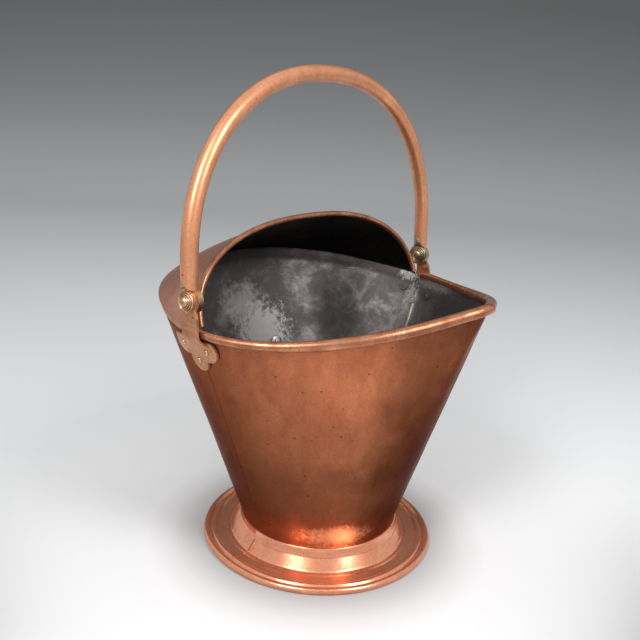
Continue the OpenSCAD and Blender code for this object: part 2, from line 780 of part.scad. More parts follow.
module bracket_plate(spots) {
    intersection() {
        difference() {
            ear_cone(plate_gap + bracket_t);
            ear_cone(plate_gap);
        }
        translate([100, 0, 0]) along_x() linear_extrude(100) bracket_outline(spots);
    }
}

module bracket_strip(spot) {
    half_t = bracket_t / 2;
    top = spot[2] + 10;
    intersection() {
        translate([0, strip_y + 20, 0]) rotate([90, 0, 0]) linear_extrude(40) polygon(concat(
            [for (z = strip_rows) [strip_x(z) - half_t, z]],
            [[bracket_in_x, top], [bracket_out_x, top]],
            [for (z = reversed(strip_rows)) [strip_x(z) + half_t, z]]
        ));
        translate([100, 0, 0]) along_x() linear_extrude(100) strip_outline(spot);
    }
}

module bracket_rivet_holes(side_index) {
    mirror_if(side_index == 0)
        for (spot = rivets[side_index])
            on_rivet(spot) translate([0, 0, -6]) cylinder(r = rivet_r + 0.03, h = 12, $fn = 32);
}

// Three rivets with domed heads outside and hammered tails inside.
rivet_tail = 3.6;
module bracket_rivets(side) {
    color(brass) mirror_if(side < 0)
        for (spot = rivets[side < 0 ? 0 : 1])
            on_rivet(spot) {
                translate([0, 0, rivet_seat + air]) rivet_dome(rivet_head_r, 1.7);
                translate([0, 0, -rivet_tail])
                    cylinder(r = rivet_r, h = rivet_tail + rivet_seat + 0.5, $fn = 32);
            }
}

module rivet_dome(r, h) {
    rotate_extrude($fn = 48) polygon(concat(
        [[0, 0]], [for (a = [0:15:90]) [r * cos(a), h * sin(a)]]
    ));
}

// Round washers on the rivets' tails, inside the body.
rove_drop = 1.9;            // depth of a washer's far face below the sheet's inner face
module rivet_roves(side) {
    color(tinned) mirror_if(side < 0)
        for (spot = rivets[side < 0 ? 0 : 1])
            on_rivet(spot)
                translate([0, 0, -sheet_t - rove_drop]) difference() {
                    cylinder(r = 5, h = 1, $fn = 48);
                    translate([0, 0, -1]) cylinder(r = rivet_r + 0.03, h = 4, $fn = 32);
                }
}

// ---------------------------------------------------------------- rear grip
grip_rivet_r = 2.4;
function grip_seat() = wall_spot(grip_turn, wall_f(grip_turn, grip_z), 0);

// Seat of one end of the grip on the back panel, with +Z pointing out.
module on_grip_seat(side) {
    mirror_if(side < 0) on_wall(grip_turn, wall_f(grip_turn, grip_z)) children();
}

grip_bar_y = grip_seat()[1] + grip_reach;
grip_bend_r = 16;

// Bar with two bent ends that run back to the flanges.
module rear_grip() {
    x = abs(grip_seat()[0]);
    z = grip_seat()[2];
    post = grip_bar_y - grip_bend_r - grip_seat()[1] - 3.5;
    color(worn_copper) {
        translate([-(x - grip_bend_r), grip_bar_y, z]) along_x()
            cylinder(r = grip_r, h = 2 * (x - grip_bend_r), $fn = fine);
        for (side = [-1, 1]) mirror_if(side < 0) {
            translate([x - grip_bend_r, grip_bar_y - grip_bend_r, z])
                rotate_extrude(angle = 90, $fn = fine)
                    translate([grip_bend_r, 0]) circle(r = grip_r, $fn = 48);
            translate([x, grip_bar_y - grip_bend_r - post, z]) rotate([-90, 0, 0])
                cylinder(r = grip_r, h = post, $fn = fine);
        }
    }
}

// Round flanges that carry the bar's ends, one on each side of the back.
module rear_grip_flanges() {
    color(brass) for (side = [-1, 1]) difference() {
        union() {
            on_grip_seat(side) translate([0, 0, 0.15]) cylinder(r = flange_r, h = 2.2, $fn = fine);
            on_grip_seat(side) translate([0, 0, 0.15])
                cylinder(r1 = flange_r - 1.5, r2 = grip_r + 1.6, h = 6.5, $fn = fine);
        }
        translate([side * abs(grip_seat()[0]), grip_seat()[1] + 3.4, grip_seat()[2]])
            rotate([-90, 0, 0]) cylinder(r = grip_r + 0.05, h = 30, $fn = fine);
        on_grip_seat(side) translate([0, 0, -1]) cylinder(r = grip_rivet_r + 0.03, h = 4, $fn = 32);
    }
}

// Rivets that hold the flanges, with their tails through washers inside the body.
grip_tail = sheet_t + rove_drop + 1.6;
module rear_grip_rivets() {
    color(brass) for (side = [-1, 1]) on_grip_seat(side) translate([0, 0, -grip_tail])
        cylinder(r = grip_rivet_r, h = grip_tail + 2.4, $fn = 32);
}

module rear_grip_roves() {
    color(solder) for (side = [-1, 1]) on_grip_seat(side)
        translate([0, 0, -sheet_t - rove_drop]) difference() {
            cylinder(r1 = 6.5, r2 = 7.5, h = 1.1, $fn = 48);
            translate([0, 0, -1]) cylinder(r = grip_rivet_r + 0.03, h = 4, $fn = 32);
        }
}

front_panel();
back_panel();
hood();
front_rim_wire();
hood_edge_wire();
seam_solder(-1);  // left_seam_solder
seam_solder(1);  // right_seam_solder
foot_skirt();
foot_edge_wire();
foot_lap_joint();
neck_band();
floor_pan();
bail_tube();
bail_eye(-1);  // left_bail_eye
bail_eye(1);  // right_bail_eye
bracket(-1);  // left_bracket
bracket(1);  // right_bracket
pivot_pin(-1);  // left_pivot_pin
pivot_pin(1);  // right_pivot_pin
inner_boss(-1);  // left_inner_boss
inner_boss(1);  // right_inner_boss
bracket_rivets(-1);  // left_bracket_rivets
bracket_rivets(1);  // right_bracket_rivets
rivet_roves(-1);  // left_rivet_roves
rivet_roves(1);  // right_rivet_roves
rear_grip();
rear_grip_flanges();
rear_grip_rivets();
rear_grip_roves();
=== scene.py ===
"""Looks of a helmet-shaped copper coal scuttle with a hood and a swinging bail handle.

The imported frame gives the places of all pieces. This script gives each visible piece a smooth mesh
with its dents and rolled edges, a finish with its patina and wear, and a plain studio round it.
"""

from __future__ import annotations

import logging
import math
from dataclasses import dataclass, field
from enum import Enum
from typing import Callable, Iterable, Sequence

import bpy
import numpy as np
from mathutils import Matrix, Vector, noise


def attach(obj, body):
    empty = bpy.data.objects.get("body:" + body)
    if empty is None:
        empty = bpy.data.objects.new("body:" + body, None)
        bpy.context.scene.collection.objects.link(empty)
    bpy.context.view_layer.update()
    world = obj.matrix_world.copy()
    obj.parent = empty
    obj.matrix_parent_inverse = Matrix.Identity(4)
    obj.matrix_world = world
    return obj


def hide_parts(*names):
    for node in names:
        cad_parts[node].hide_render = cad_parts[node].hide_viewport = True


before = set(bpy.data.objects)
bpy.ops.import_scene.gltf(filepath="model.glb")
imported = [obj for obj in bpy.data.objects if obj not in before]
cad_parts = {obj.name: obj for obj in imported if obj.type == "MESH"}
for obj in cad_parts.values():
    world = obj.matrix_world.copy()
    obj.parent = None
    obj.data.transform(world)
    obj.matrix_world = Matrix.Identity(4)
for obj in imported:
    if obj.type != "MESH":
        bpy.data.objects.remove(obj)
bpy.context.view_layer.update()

LOG = logging.getLogger("scuttle")
MM = 0.001
SMALL_TURN = math.radians(0.5)      # step for the slope of a line given by turns

Material = bpy.types.Material
Piece = bpy.types.Object
Socket = bpy.types.NodeSocket
Triple = tuple[float, float, float]


# ---------------------------------------------------------------- small helpers
def linear(hex_colour: str) -> tuple[float, float, float, float]:
    """Turn an sRGB hex value into a linear colour.

    Args:
        hex_colour: six hex digits, with or without a leading #.

    Returns:
        Linear red, green, blue and an alpha of one.
    """
    digits = hex_colour.lstrip("#")
    parts = [int(digits[i:i + 2], 16) / 255 for i in (0, 2, 4)]
    rgb = [c / 12.92 if c <= 0.04045 else ((c + 0.055) / 1.055) ** 2.4 for c in parts]
    return rgb[0], rgb[1], rgb[2], 1.0


def per_mm(size_mm: float) -> float:
    """Return the scale that gives a pattern of size_mm where coordinates are in metres."""
    return 1.0 / (size_mm * MM)


def signed_pow(value: np.ndarray, power: float) -> np.ndarray:
    """Raise the size of value to power and keep its sign."""
    return np.sign(value) * np.abs(value) ** power


def unit(vectors: np.ndarray) -> np.ndarray:
    """Scale each row vector to length one."""
    return vectors / np.maximum(np.linalg.norm(vectors, axis=-1, keepdims=True), 1e-12)


def ease(value: np.ndarray | float) -> np.ndarray:
    """Go smoothly from 0 to 1 as value goes from 0 to 1."""
    v = np.clip(value, 0.0, 1.0)
    return v * v * (3 - 2 * v)


def roll_angles(first: float, last: float, count: int) -> np.ndarray:
    """Return count angles from first to last degrees, in radians."""
    return np.radians(np.linspace(first, last, count))


def rounded(points: list[tuple[float, float]], rounds: int) -> list[tuple[float, float]]:
    """Soften the corners of an open line by cutting them, and keep its ends.

    Args:
        points: corners of the line.
        rounds: how often the corners are cut.

    Returns:
        The softened line.
    """
    for _ in range(rounds):
        cut = [points[0]]
        for (x0, y0), (x1, y1) in zip(points[:-1], points[1:]):
            cut.append((0.75 * x0 + 0.25 * x1, 0.75 * y0 + 0.25 * y1))
            cut.append((0.25 * x0 + 0.75 * x1, 0.25 * y0 + 0.75 * y1))
        points = [*cut, points[-1]]
    return points


def faded(fractions: np.ndarray, first: float, last: float) -> np.ndarray:
    """Return weights that rise from 0 over the first part of 0 to 1 and fall over the last."""
    return ease(fractions / first) * ease((1 - fractions) / last)


def between_ends(turns: np.ndarray, reach: float) -> np.ndarray:
    """Return weights that rise from 0 at each end of the turns over a reach in radians."""
    return np.minimum(ease((turns - turns[0]) / reach), ease((turns[-1] - turns) / reach))


def noise_at(points_mm: np.ndarray, size_mm: float, seed: float) -> np.ndarray:
    """Sample smooth noise of about -1 to 1.

    Args:
        points_mm: points of any grid shape, with a last axis of three.
        size_mm: size of one bump.
        seed: offset that picks another pattern.

    Returns:
        One value per point.
    """
    flat = points_mm.reshape(-1, 3) / size_mm + seed
    values = np.array([noise.noise(Vector(p)) for p in flat])
    return values.reshape(points_mm.shape[:-1])


# ---------------------------------------------------------------- meshes
class Skin(Enum):
    """Finish of a face of a sheet, as an index into the piece's materials."""

    OUTSIDE = 0
    INSIDE = 1
    EDGE = 2


def shade(mesh: bpy.types.Mesh, materials: Sequence[Material], sharp_deg: float) -> None:
    """Give a mesh its materials and smooth faces.

    Args:
        mesh: mesh to change.
        materials: materials in slot order.
        sharp_deg: edges that turn by more than this stay sharp.
    """
    mesh.materials.clear()
    for material in materials:
        mesh.materials.append(material)
    mesh.polygons.foreach_set("use_smooth", np.ones(len(mesh.polygons), dtype=bool))
    mesh.set_sharp_from_angle(angle=math.radians(sharp_deg))


def make_piece(
    name: str,
    vertices_mm: np.ndarray,
    faces: Sequence[Sequence[int]],
    materials: Sequence[Material],
    skins: Sequence[int] | None = None,
    sharp_deg: float = 40.0,
) -> Piece:
    """Make a smooth-shaded object from points in millimetres.

    Args:
        name: name of the piece.
        vertices_mm: one row per vertex.
        faces: vertex indices of each face.
        materials: materials of the piece, in slot order.
        skins: slot index of each face, or None for the first slot everywhere.
        sharp_deg: edges that turn by more than this stay sharp.

    Returns:
        The new object, linked to the scene.
    """
    mesh = bpy.data.meshes.new(name)
    mesh.from_pydata((np.asarray(vertices_mm) * MM).tolist(), [], [list(f) for f in faces])
    shade(mesh, materials, sharp_deg)
    if skins is not None:
        mesh.polygons.foreach_set("material_index", np.asarray(skins, dtype=np.int32))
    mesh.update()
    piece = bpy.data.objects.new(name, mesh)
    bpy.context.scene.collection.objects.link(piece)
    return piece


def grid_faces(rows: int, columns: int, wrap_rows: bool, wrap_columns: bool) -> np.ndarray:
    """Return the quads of a grid of rows by columns of points.

    Args:
        rows: number of stations.
        columns: number of points at each station.
        wrap_rows: join the last station to the first.
        wrap_columns: join the last point of a station to its first.

    Returns:
        An array of quads.
    """
    r, c = np.meshgrid(
        np.arange(rows if wrap_rows else rows - 1),
        np.arange(columns if wrap_columns else columns - 1), indexing="ij",
    )
    here, ahead, beside = r * columns, (r + 1) % rows * columns, (c + 1) % columns
    return np.stack([here + c, ahead + c, ahead + beside, here + beside], axis=-1).reshape(-1, 4)


def ring_sheet(
    name: str,
    stations: np.ndarray,
    skins: Sequence[int],
    materials: Sequence[Material],
    closed: bool = False,
    sharp_deg: float = 40.0,
    cap_skin: int | None = None,
) -> Piece:
    """Make a solid from stations that each hold one closed outline.

    Args:
        name: name of the piece.
        stations: array of station, outline point, xyz in millimetres.
        skins: slot index of each outline segment.
        materials: materials in slot order.
        closed: True when the last station joins the first.
        sharp_deg: edges that turn by more than this stay sharp.
        cap_skin: slot index of the two ends, or None for that of the first segment.

    Returns:
        The new object.
    """
    rows, columns = stations.shape[:2]
    faces = [tuple(q) for q in grid_faces(rows, columns, closed, True)]
    face_skins = list(skins) * (rows if closed else rows - 1)
    if not closed:
        faces.append(tuple(range(columns)))
        faces.append(tuple((rows - 1) * columns + i for i in reversed(range(columns))))
        face_skins += [skins[0] if cap_skin is None else cap_skin] * 2
    return make_piece(name, stations.reshape(-1, 3), faces, materials, face_skins, sharp_deg)


def revolved(
    name: str,
    outline: np.ndarray,
    material: Material,
    turns: np.ndarray,
    bend: Callable[[np.ndarray], np.ndarray] | None = None,
) -> Piece:
    """Turn a closed outline of [radius, height] about Z.

    Args:
        name: name of the piece.
        outline: closed outline in millimetres.
        material: material of the piece.
        turns: angles from +X in radians. A full turn leaves out the last angle.
        bend: optional change of the points.

    Returns:
        The new object.
    """
    full = abs(turns[-1] - turns[0]) > math.radians(355)
    radius, height = outline[:, 0], outline[:, 1]
    across, along = np.outer(np.cos(turns), radius), np.outer(np.sin(turns), radius)
    points = np.stack([across, along, np.tile(height, (len(turns), 1))], axis=-1)
    if bend is not None:
        points = bend(points)
    return ring_sheet(name, points, [0] * len(outline), [material], closed=full)


def rolled_edge(
    at: Callable[[np.ndarray, np.ndarray], np.ndarray], radius: np.ndarray | float, sheet: float,
    counts: tuple[int, int], last_deg: float,
) -> tuple[np.ndarray, np.ndarray]:
    """Return the two faces of a sheet's edge that is rolled over a wire.

    Args:
        at: gives points from their distances outward and upward of the roll's middle.
        radius: outer radius of the roll.
        sheet: thickness of the sheet.
        counts: numbers of steps on the hidden and on the visible face.
        last_deg: angle where the visible face ends.

    Returns:
        The hidden face against the wire and the visible one, each as stations by points.
    """
    tight = radius - sheet
    hidden = [at(0.0, -tight)]
    for a in roll_angles(236, -74, counts[0]):
        hidden.append(at(tight * math.cos(a), tight * math.sin(a)))
    shown = []
    for a in roll_angles(-74, last_deg, counts[1]):
        shown.append(at(radius * math.cos(a), radius * math.sin(a)))
    return np.stack(hidden, 1), np.stack(shown, 1)


def sheet_skins(outside: int, edge: int, inside: int) -> list[int]:
    """Return the skins of an outline with so many points outside, on its edge and inside."""
    skins = [Skin.OUTSIDE] * outside + [Skin.EDGE] * edge + [Skin.INSIDE] * inside
    return [skin.value for skin in skins]


def refined(
    node: str, name: str, materials: Sequence[Material], bevel_mm: float = 0.0,
    sharp_deg: float = 32.0,
) -> Piece:
    """Copy a CAD node's shape into a smooth-shaded piece with softened edges.

    Args:
        node: name of the CAD node.
        name: name of the new piece.
        materials: materials of the piece.
        bevel_mm: width of the softened edges, or 0 for none.
        sharp_deg: edges that turn by more than this stay sharp.

    Returns:
        The new object, which replaces the node.
    """
    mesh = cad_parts[node].data.copy()
    mesh.name = name
    piece = bpy.data.objects.new(name, mesh)
    bpy.context.scene.collection.objects.link(piece)
    weld = piece.modifiers.new("weld", "WELD")
    weld.merge_threshold = 0.00002
    depsgraph = bpy.context.evaluated_depsgraph_get()
    joined = bpy.data.meshes.new_from_object(piece.evaluated_get(depsgraph))
    piece.modifiers.clear()
    piece.data = joined
    shade(joined, materials, sharp_deg)
    joined.polygons.foreach_set("material_index", np.zeros(len(joined.polygons), dtype=np.int32))
    if bevel_mm:
        bevel = piece.modifiers.new("soft_edges", "BEVEL")
        bevel.width = bevel_mm * MM
        bevel.segments = 2
        bevel.limit_method = "ANGLE"
        bevel.angle_limit = math.radians(50)
        bevel.harden_normals = True
    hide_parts(node)
    return piece


# ---------------------------------------------------------------- materials
class Graph:
    """A node tree under construction, with a short call for each kind of node."""

    def __init__(self, tree: bpy.types.NodeTree) -> None:
        """Start on a tree.

        Args:
            tree: the tree that gets the nodes.
        """
        self.tree = tree

    def feed(self, node: bpy.types.Node, key: str | int, value: object) -> None:
        """Link an input to the socket that feeds it, or set its value.

        Args:
            node: node with the input.
            key: name or index of the input.
            value: a value or an output socket.
        """
        if isinstance(value, Socket):
            self.tree.links.new(value, node.inputs[key])
        else:
            node.inputs[key].default_value = value

    def add(self, kind: str, inputs: dict | None = None, **settings: object) -> bpy.types.Node:
        """Add a node with its settings, values and links.

        Args:
            kind: Blender's name of the node type.
            inputs: input name or index to a value or to the output socket that feeds it.
            settings: properties of the node itself.

        Returns:
            The new node.
        """
        node = self.tree.nodes.new(kind)
        for key, value in settings.items():
            setattr(node, key, value)
        for key, value in (inputs or {}).items():
            self.feed(node, key, value)
        return node

    def maths(self, operation: str, first: object, second: object = 0.0) -> Socket:
        """Return the result of one mathematical operation."""
        return self.add("ShaderNodeMath", {0: first, 1: second}, operation=operation).outputs[0]

    def times(self, first: object, second: object) -> Socket:
        """Return the product of two values."""
        return self.maths("MULTIPLY", first, second)

    def ramp(self, source: Socket, *stops: tuple[float, object]) -> Socket:
        """Map a value through stops of grey levels or colours.

        Args:
            source: value to map.
            stops: pairs of position and either a level or a linear colour.

        Returns:
            The colour output.
        """
        node = self.add("ShaderNodeValToRGB", {"Fac": source})
        band = node.color_ramp
        while len(band.elements) < len(stops):
            band.elements.new(0.5)
        for element, (place, colour) in zip(band.elements, stops):
            element.position = place
            element.color = colour if isinstance(colour, tuple) else (colour, colour, colour, 1.0)
        return node.outputs["Color"]

    def mapped(
        self, value: Socket, low: float, high: float, to_low: float = 0.0, to_high: float = 1.0
    ) -> Socket:
        """Map the range from low to high to that from to_low to to_high, and stop at its ends.

        Args:
            value: value to map.
            low, high: range that it comes from.
            to_low, to_high: range that it goes to.

        Returns:
            The mapped value.
        """
        return self.add("ShaderNodeMapRange", {
            "Value": value, "From Min": low, "From Max": high, "To Min": to_low, "To Max": to_high,
        }).outputs["Result"]

    def mixed(self, amount: object, first: object, second: object, how: str = "MIX") -> Socket:
        """Mix two colours by an amount.

        Args:
            amount: share of the second colour.
            first, second: the colours.
            how: blend mode.

        Returns:
            The mixed colour.
        """
        node = self.add(
            "ShaderNodeMix", {0: amount, 6: first, 7: second}, data_type="RGBA", blend_type=how
        )
        return node.outputs[2]


class Surface(Graph):
    """A material under construction, on object coordinates in metres."""

    def __init__(self, name: str) -> None:
        """Start a material.

        Args:
            name: name of the material.
        """
        self.material = bpy.data.materials.new(name)
        self.material.use_nodes = True
        super().__init__(self.material.node_tree)
        self.shader = self.tree.nodes["Principled BSDF"]
        self.place = self.add("ShaderNodeTexCoord").outputs["Object"]

    def noise(
        self, size_mm: float, detail: float = 4.0, rough: float = 0.55, warp: float = 0.0,
        place: Socket | None = None,
    ) -> Socket:
        """Return noise with bumps of about size_mm.

        Args:
            size_mm: size of a bump.
            detail, rough, warp: settings of the noise.
            place: coordinates, or None for the object's own.

        Returns:
            A value from 0 to 1.
        """
        return self.add("ShaderNodeTexNoise", {
            "Vector": place or self.place, "Scale": per_mm(size_mm), "Detail": detail,
            "Roughness": rough, "Distortion": warp,
        }).outputs["Fac"]

    def stretched(
        self, factors: tuple[float, float, float], turn_deg: tuple[float, float, float]
    ) -> Socket:
        """Return the coordinates turned and scaled by factors.

        Args:
            factors: scales along X, Y and Z.
            turn_deg: turns about X, Y and Z.

        Returns:
            The new coordinates.
        """
        turn = tuple(math.radians(a) for a in turn_deg)
        return self.add(
            "ShaderNodeMapping", {"Vector": self.place, "Rotation": turn, "Scale": factors}
        ).outputs["Vector"]

    def bump(self, height: Socket, strength: float, distance_mm: float, **base: Socket) -> Socket:
        """Return the normal that a height gives, on top of another normal if there is one.

        Args:
            height: height from 0 to 1.
            strength: strength of the effect.
            distance_mm: how far a height of 1 stands out.
            base: the other normal, as Normal.

        Returns:
            The normal.
        """
        return self.add("ShaderNodeBump", {
            "Height": height, "Strength": strength, "Distance": distance_mm * MM, **base,
        }).outputs["Normal"]

    def finish(self, inputs: dict[str, object]) -> Material:
        """Feed the shader.

        Args:
            inputs: the shader's input names to values or output sockets.

        Returns:
            The finished material.
        """
        for key, value in inputs.items():
            self.feed(self.shader, key, value)
        return self.material


@dataclass(frozen=True)
class Mark:
    """A stain, deposit or bright place, such as a painted reflection, at one spot of a surface, with
    a ragged edge.
    """

    middle: Triple               # in millimetres
    reach: Triple                # half sizes along X, Y and Z in millimetres
    colour: str
    strength: float = 0.8
    ragged: float = 0.6          # 0 for a soft round patch, 1 for torn flakes
    grain_mm: float = 3.0

    def lay(self, surface: Surface, colour: Socket) -> Socket:
        """Mix the mark over a colour.

        Args:
            surface: material that gets the mark.
            colour: colour below the mark.

        Returns:
            The colour with the mark on it.
        """
        local = surface.add("ShaderNodeMapping", {
            "Vector": surface.place,
            "Location": tuple(-m / r for m, r in zip(self.middle, self.reach)),
            "Scale": tuple(per_mm(r) for r in self.reach),
        }).outputs["Vector"]
        away = surface.add("ShaderNodeVectorMath", {0: local}, operation="LENGTH").outputs["Value"]
        torn = surface.maths("SUBTRACT", surface.noise(self.grain_mm, 6.0, 0.7, 0.4), 0.5)
        edge = surface.maths("ADD", away, surface.times(torn, -3.5 * self.ragged))
        soft = 0.9 - 0.6 * self.ragged
        amount = surface.ramp(
            surface.times(edge, 0.5),
            (max(0.5 - soft * 0.5, 0.02), self.strength), (0.5 + soft * 0.1, 0.0),
        )
        return surface.mixed(amount, colour, linear(self.colour))


@dataclass(frozen=True)
class CopperFinish:
    """Old hand-polished copper sheet: warm metal with patina, wipe marks, pits and scratches."""

    name: str
    metal: str                   # where the polishing cloth keeps it clean
    patina: str                  # brown oxide in the hollows and between polishings
    stain: str                   # dark spots and blooms
    patina_share: float          # how much of the sheet the oxide covers
    stain_share: float
    rough: tuple[float, float]   # of the clean metal and of the oxide
    bloom_mm: float = 42.0       # size of the oxide's clouds
    spot_mm: float = 9.0         # spacing of the dark spots
    dent_height: float = 0.35    # height of the hammer waves in mm
    scratch: float = 0.3
    specks: str | None = None    # green and yellow deposits on rubbed edges
    # painted light and dark, set by readings of the photograph: (place, level)
    turn_levels: tuple[tuple[float, float], ...] = ()      # at turns from the spout, in degrees
    height_levels: tuple[tuple[float, float], ...] = ()    # at heights in mm
    edge_tint: str = "#FFFFFF"   # colour of the metal at grazing angles
    bare: float = 0.78           # share of bare metal; the rest is covered by matt oxide
    marks: tuple[Mark, ...] = ()

    def build(self) -> Material:
        """Build the node material.

        Returns:
            The finished material.
        """
        surface = Surface(self.name)
        noise, ramp, times, maths = surface.noise, surface.ramp, surface.times, surface.maths
        clouds = noise(self.bloom_mm, 7.0, 0.62, 0.35)
        wiped = surface.stretched((1.0, 1.0, 0.22), (18.0, 0.0, 0.0))
        cover = maths("ADD", times(clouds, 0.68), times(noise(11.0, 5.0, 0.6, place=wiped), 0.32))
        edge = 0.62 - 0.26 * self.patina_share
        oxide = ramp(cover, (edge - 0.14, 1.0), (edge + 0.2, 0.0))
        colour = surface.mixed(oxide, linear(self.metal), linear(self.patina))
        # dark spots: only the cells whose own random value is high hold one
        cells = surface.add(
            "ShaderNodeTexVoronoi", {"Vector": surface.place, "Scale": per_mm(self.spot_mm)},
            feature="F1",
        ).outputs
        own = surface.add("ShaderNodeSeparateColor", {"Color": cells["Color"]}).outputs[0]
        picked = maths("GREATER_THAN", own, 1.0 - self.stain_share)
        spots = times(picked, ramp(cells["Distance"], (0.06, 1.0), (0.17, 0.0)))
        bloom = ramp(noise(16.0, 8.0, 0.7, 0.6), (0.60, 0.0), (0.74, 1.0))
        dark = maths("MAXIMUM", times(spots, 0.75), times(bloom, self.stain_share))
        colour = surface.mixed(dark, colour, linear(self.stain))
        grain = noise(2.2, 3.0, 0.6)
        shade = ramp(grain, (0.3, 0.86), (0.7, 1.08))
        colour = surface.mixed(1.0, colour, shade, "MULTIPLY")
        if self.specks is not None:
            flakes = ramp(noise(3.4, 4.0, 0.7), (0.60, 0.0), (0.66, 1.0))
            patch = ramp(noise(30.0, 3.0, 0.6), (0.47, 0.0), (0.62, 1.0))
            colour = surface.mixed(times(flakes, patch), colour, linear(self.specks))
        if self.turn_levels:
            colour = surface.mixed(1.0, colour, self.painted_levels(surface, clouds), "MULTIPLY")
        for mark in self.marks:
            colour = mark.lay(surface, colour)
        low, high = self.rough
        worn = maths("ADD", cover, times(dark, 0.25))
        # scratches run mostly down and across, as a cloth and a shovel leave them
        scored = surface.stretched((1.0, 1.0, 0.03), (35.0, 20.0, 0.0))
        cuts = ramp(noise(1.1, 2.0, 0.5, place=scored), (0.24, 0.0), (0.33, 1.0))
        dents = surface.bump(noise(26.0, 2.0, 0.5), 0.55, 2.0 * self.dent_height)
        fine = maths("ADD", times(grain, 0.35), times(cuts, self.scratch))
        return surface.finish({
            "Base Color": colour,
            "Metallic": self.bare,
            "Specular IOR Level": 0.2,
            "Specular Tint": linear(self.edge_tint),
            "Roughness": surface.mapped(worn, 0.36, 0.66, high, low),
            "Normal": surface.bump(fine, 0.35, 0.22, Normal=dents),
        })

    def painted_levels(self, surface: Surface, clouds: Socket) -> Socket:
        """Return the painted light and dark of the wall, by its turn round the body and height.

        They follow readings of the photograph, and paint in light, shade and reflections
        along with the metal's own colour.

        Args:
            surface: the material.
            clouds: noise that makes the change ragged.

        Returns:
            A level to multiply the colour by.
        """
        maths, times = surface.maths, surface.times
        at = surface.add("ShaderNodeSeparateXYZ", {"Vector": surface.place}).outputs
        turn = maths("ARCTAN2", maths("ABSOLUTE", at["X"]), times(at["Y"], -1.0))
        wander = times(maths("SUBTRACT", clouds, 0.5), 0.12)
        part = maths("ADD", maths("DIVIDE", turn, math.pi), wander)
        around = surface.ramp(part, *((degrees / 180, level) for degrees, level in self.turn_levels))
        top = max(z for z, _ in self.height_levels)
        rise = times(maths("ADD", at["Z"], times(wander, 0.1)), per_mm(top))
        height = surface.ramp(rise, *((z / top, level) for z, level in self.height_levels))
        return surface.mixed(1.0, around, height, "MULTIPLY")


@dataclass(frozen=True)
class TinnedFinish:
    """Hand-wiped tin over copper, greyed by coal: mottled dull metal with pale scratches."""

    name: str
    tin: str
    soot: str
    pale: str                    # crust and scratches
    soot_share: float = 0.5
    rough: float = 0.46
    hood_shade: str = "#1C1917"   # painted shade below the hood
    hood_shade_rise: tuple[float, float] | None = None    # heights in mm between which the painted shade closes in
    marks: tuple[Mark, ...] = ()

    def build(self) -> Material:
        """Build the node material.

        Returns:
            The finished material.
        """
        surface = Surface(self.name)
        noise, ramp, times, maths = surface.noise, surface.ramp, surface.times, surface.maths
        clouds = noise(38.0, 8.0, 0.68, 0.4)
        edge = 0.66 - 0.34 * self.soot_share
        sooty = ramp(clouds, (edge, 1.0), (edge + 0.22, 0.0))
        colour = surface.mixed(sooty, linear(self.tin), linear(self.soot))
        crust = ramp(noise(5.5, 7.0, 0.72, 0.5), (0.55, 0.0), (0.72, 1.0))
        patch = ramp(noise(60.0, 3.0, 0.6), (0.42, 0.0), (0.62, 1.0))
        colour = surface.mixed(times(times(crust, patch), 0.3), colour, linear(self.pale))
        scored = surface.stretched((0.06, 0.06, 1.0), (12.0, 25.0, 0.0))
        lines = ramp(noise(1.6, 2.0, 0.5, place=scored), (0.68, 0.0), (0.73, 1.0))
        some = ramp(noise(70.0, 2.0, 0.5), (0.46, 0.0), (0.6, 1.0))
        colour = surface.mixed(times(times(lines, some), 0.4), colour, linear(self.pale))
        # painted shade: the back wall darkens towards its top, below the hood
        if self.hood_shade_rise is not None:
            low, high = (z * MM for z in self.hood_shade_rise)
            at = surface.add("ShaderNodeSeparateXYZ", {"Vector": surface.place}).outputs
            ragged = maths("ADD", at["Z"], times(clouds, 0.02))
            closed = surface.mapped(ragged, low + 0.01, high + 0.01)
            behind = surface.mapped(at["Y"], 0.01, 0.06)
            amount = times(times(closed, behind), 0.9)
            colour = surface.mixed(amount, colour, linear(self.hood_shade))
        for mark in self.marks:
            colour = mark.lay(surface, colour)
        rough = surface.mapped(clouds, 0.35, 0.7, self.rough + 0.14, self.rough - 0.1)
        lumps = maths("ADD", noise(3.0, 5.0, 0.65), times(clouds, 3.0))
        return surface.finish({
            "Base Color": colour, "Metallic": 0.75, "Roughness": rough,
            "Normal": surface.bump(lumps, 0.5, 0.4),
        })


@dataclass(frozen=True)
class BronzeFinish:
    """Cast bronze left to tarnish: greenish grey skin, yellow metal where hands rub it."""

    name: str
    metal: str
    tarnish: str
    grime: str
    rough: float = 0.34

    def build(self) -> Material:
        """Build the node material.

        Returns:
            The finished material.
        """
        surface = Surface(self.name)
        clouds = surface.noise(9.0, 6.0, 0.65, 0.3)
        tarnished = surface.ramp(clouds, (0.40, 1.0), (0.60, 0.0))
        colour = surface.mixed(tarnished, linear(self.metal), linear(self.tarnish))
        grimy = surface.ramp(surface.noise(2.6, 6.0, 0.7), (0.54, 0.0), (0.68, 1.0))
        colour = surface.mixed(surface.times(grimy, 0.7), colour, linear(self.grime))
        rough = surface.mapped(clouds, 0.35, 0.65, self.rough + 0.18, self.rough - 0.08)
        return surface.finish({
            "Base Color": colour, "Metallic": 1.0, "Roughness": rough,
            "Normal": surface.bump(surface.noise(1.4, 5.0, 0.65), 0.45, 0.3),
        })


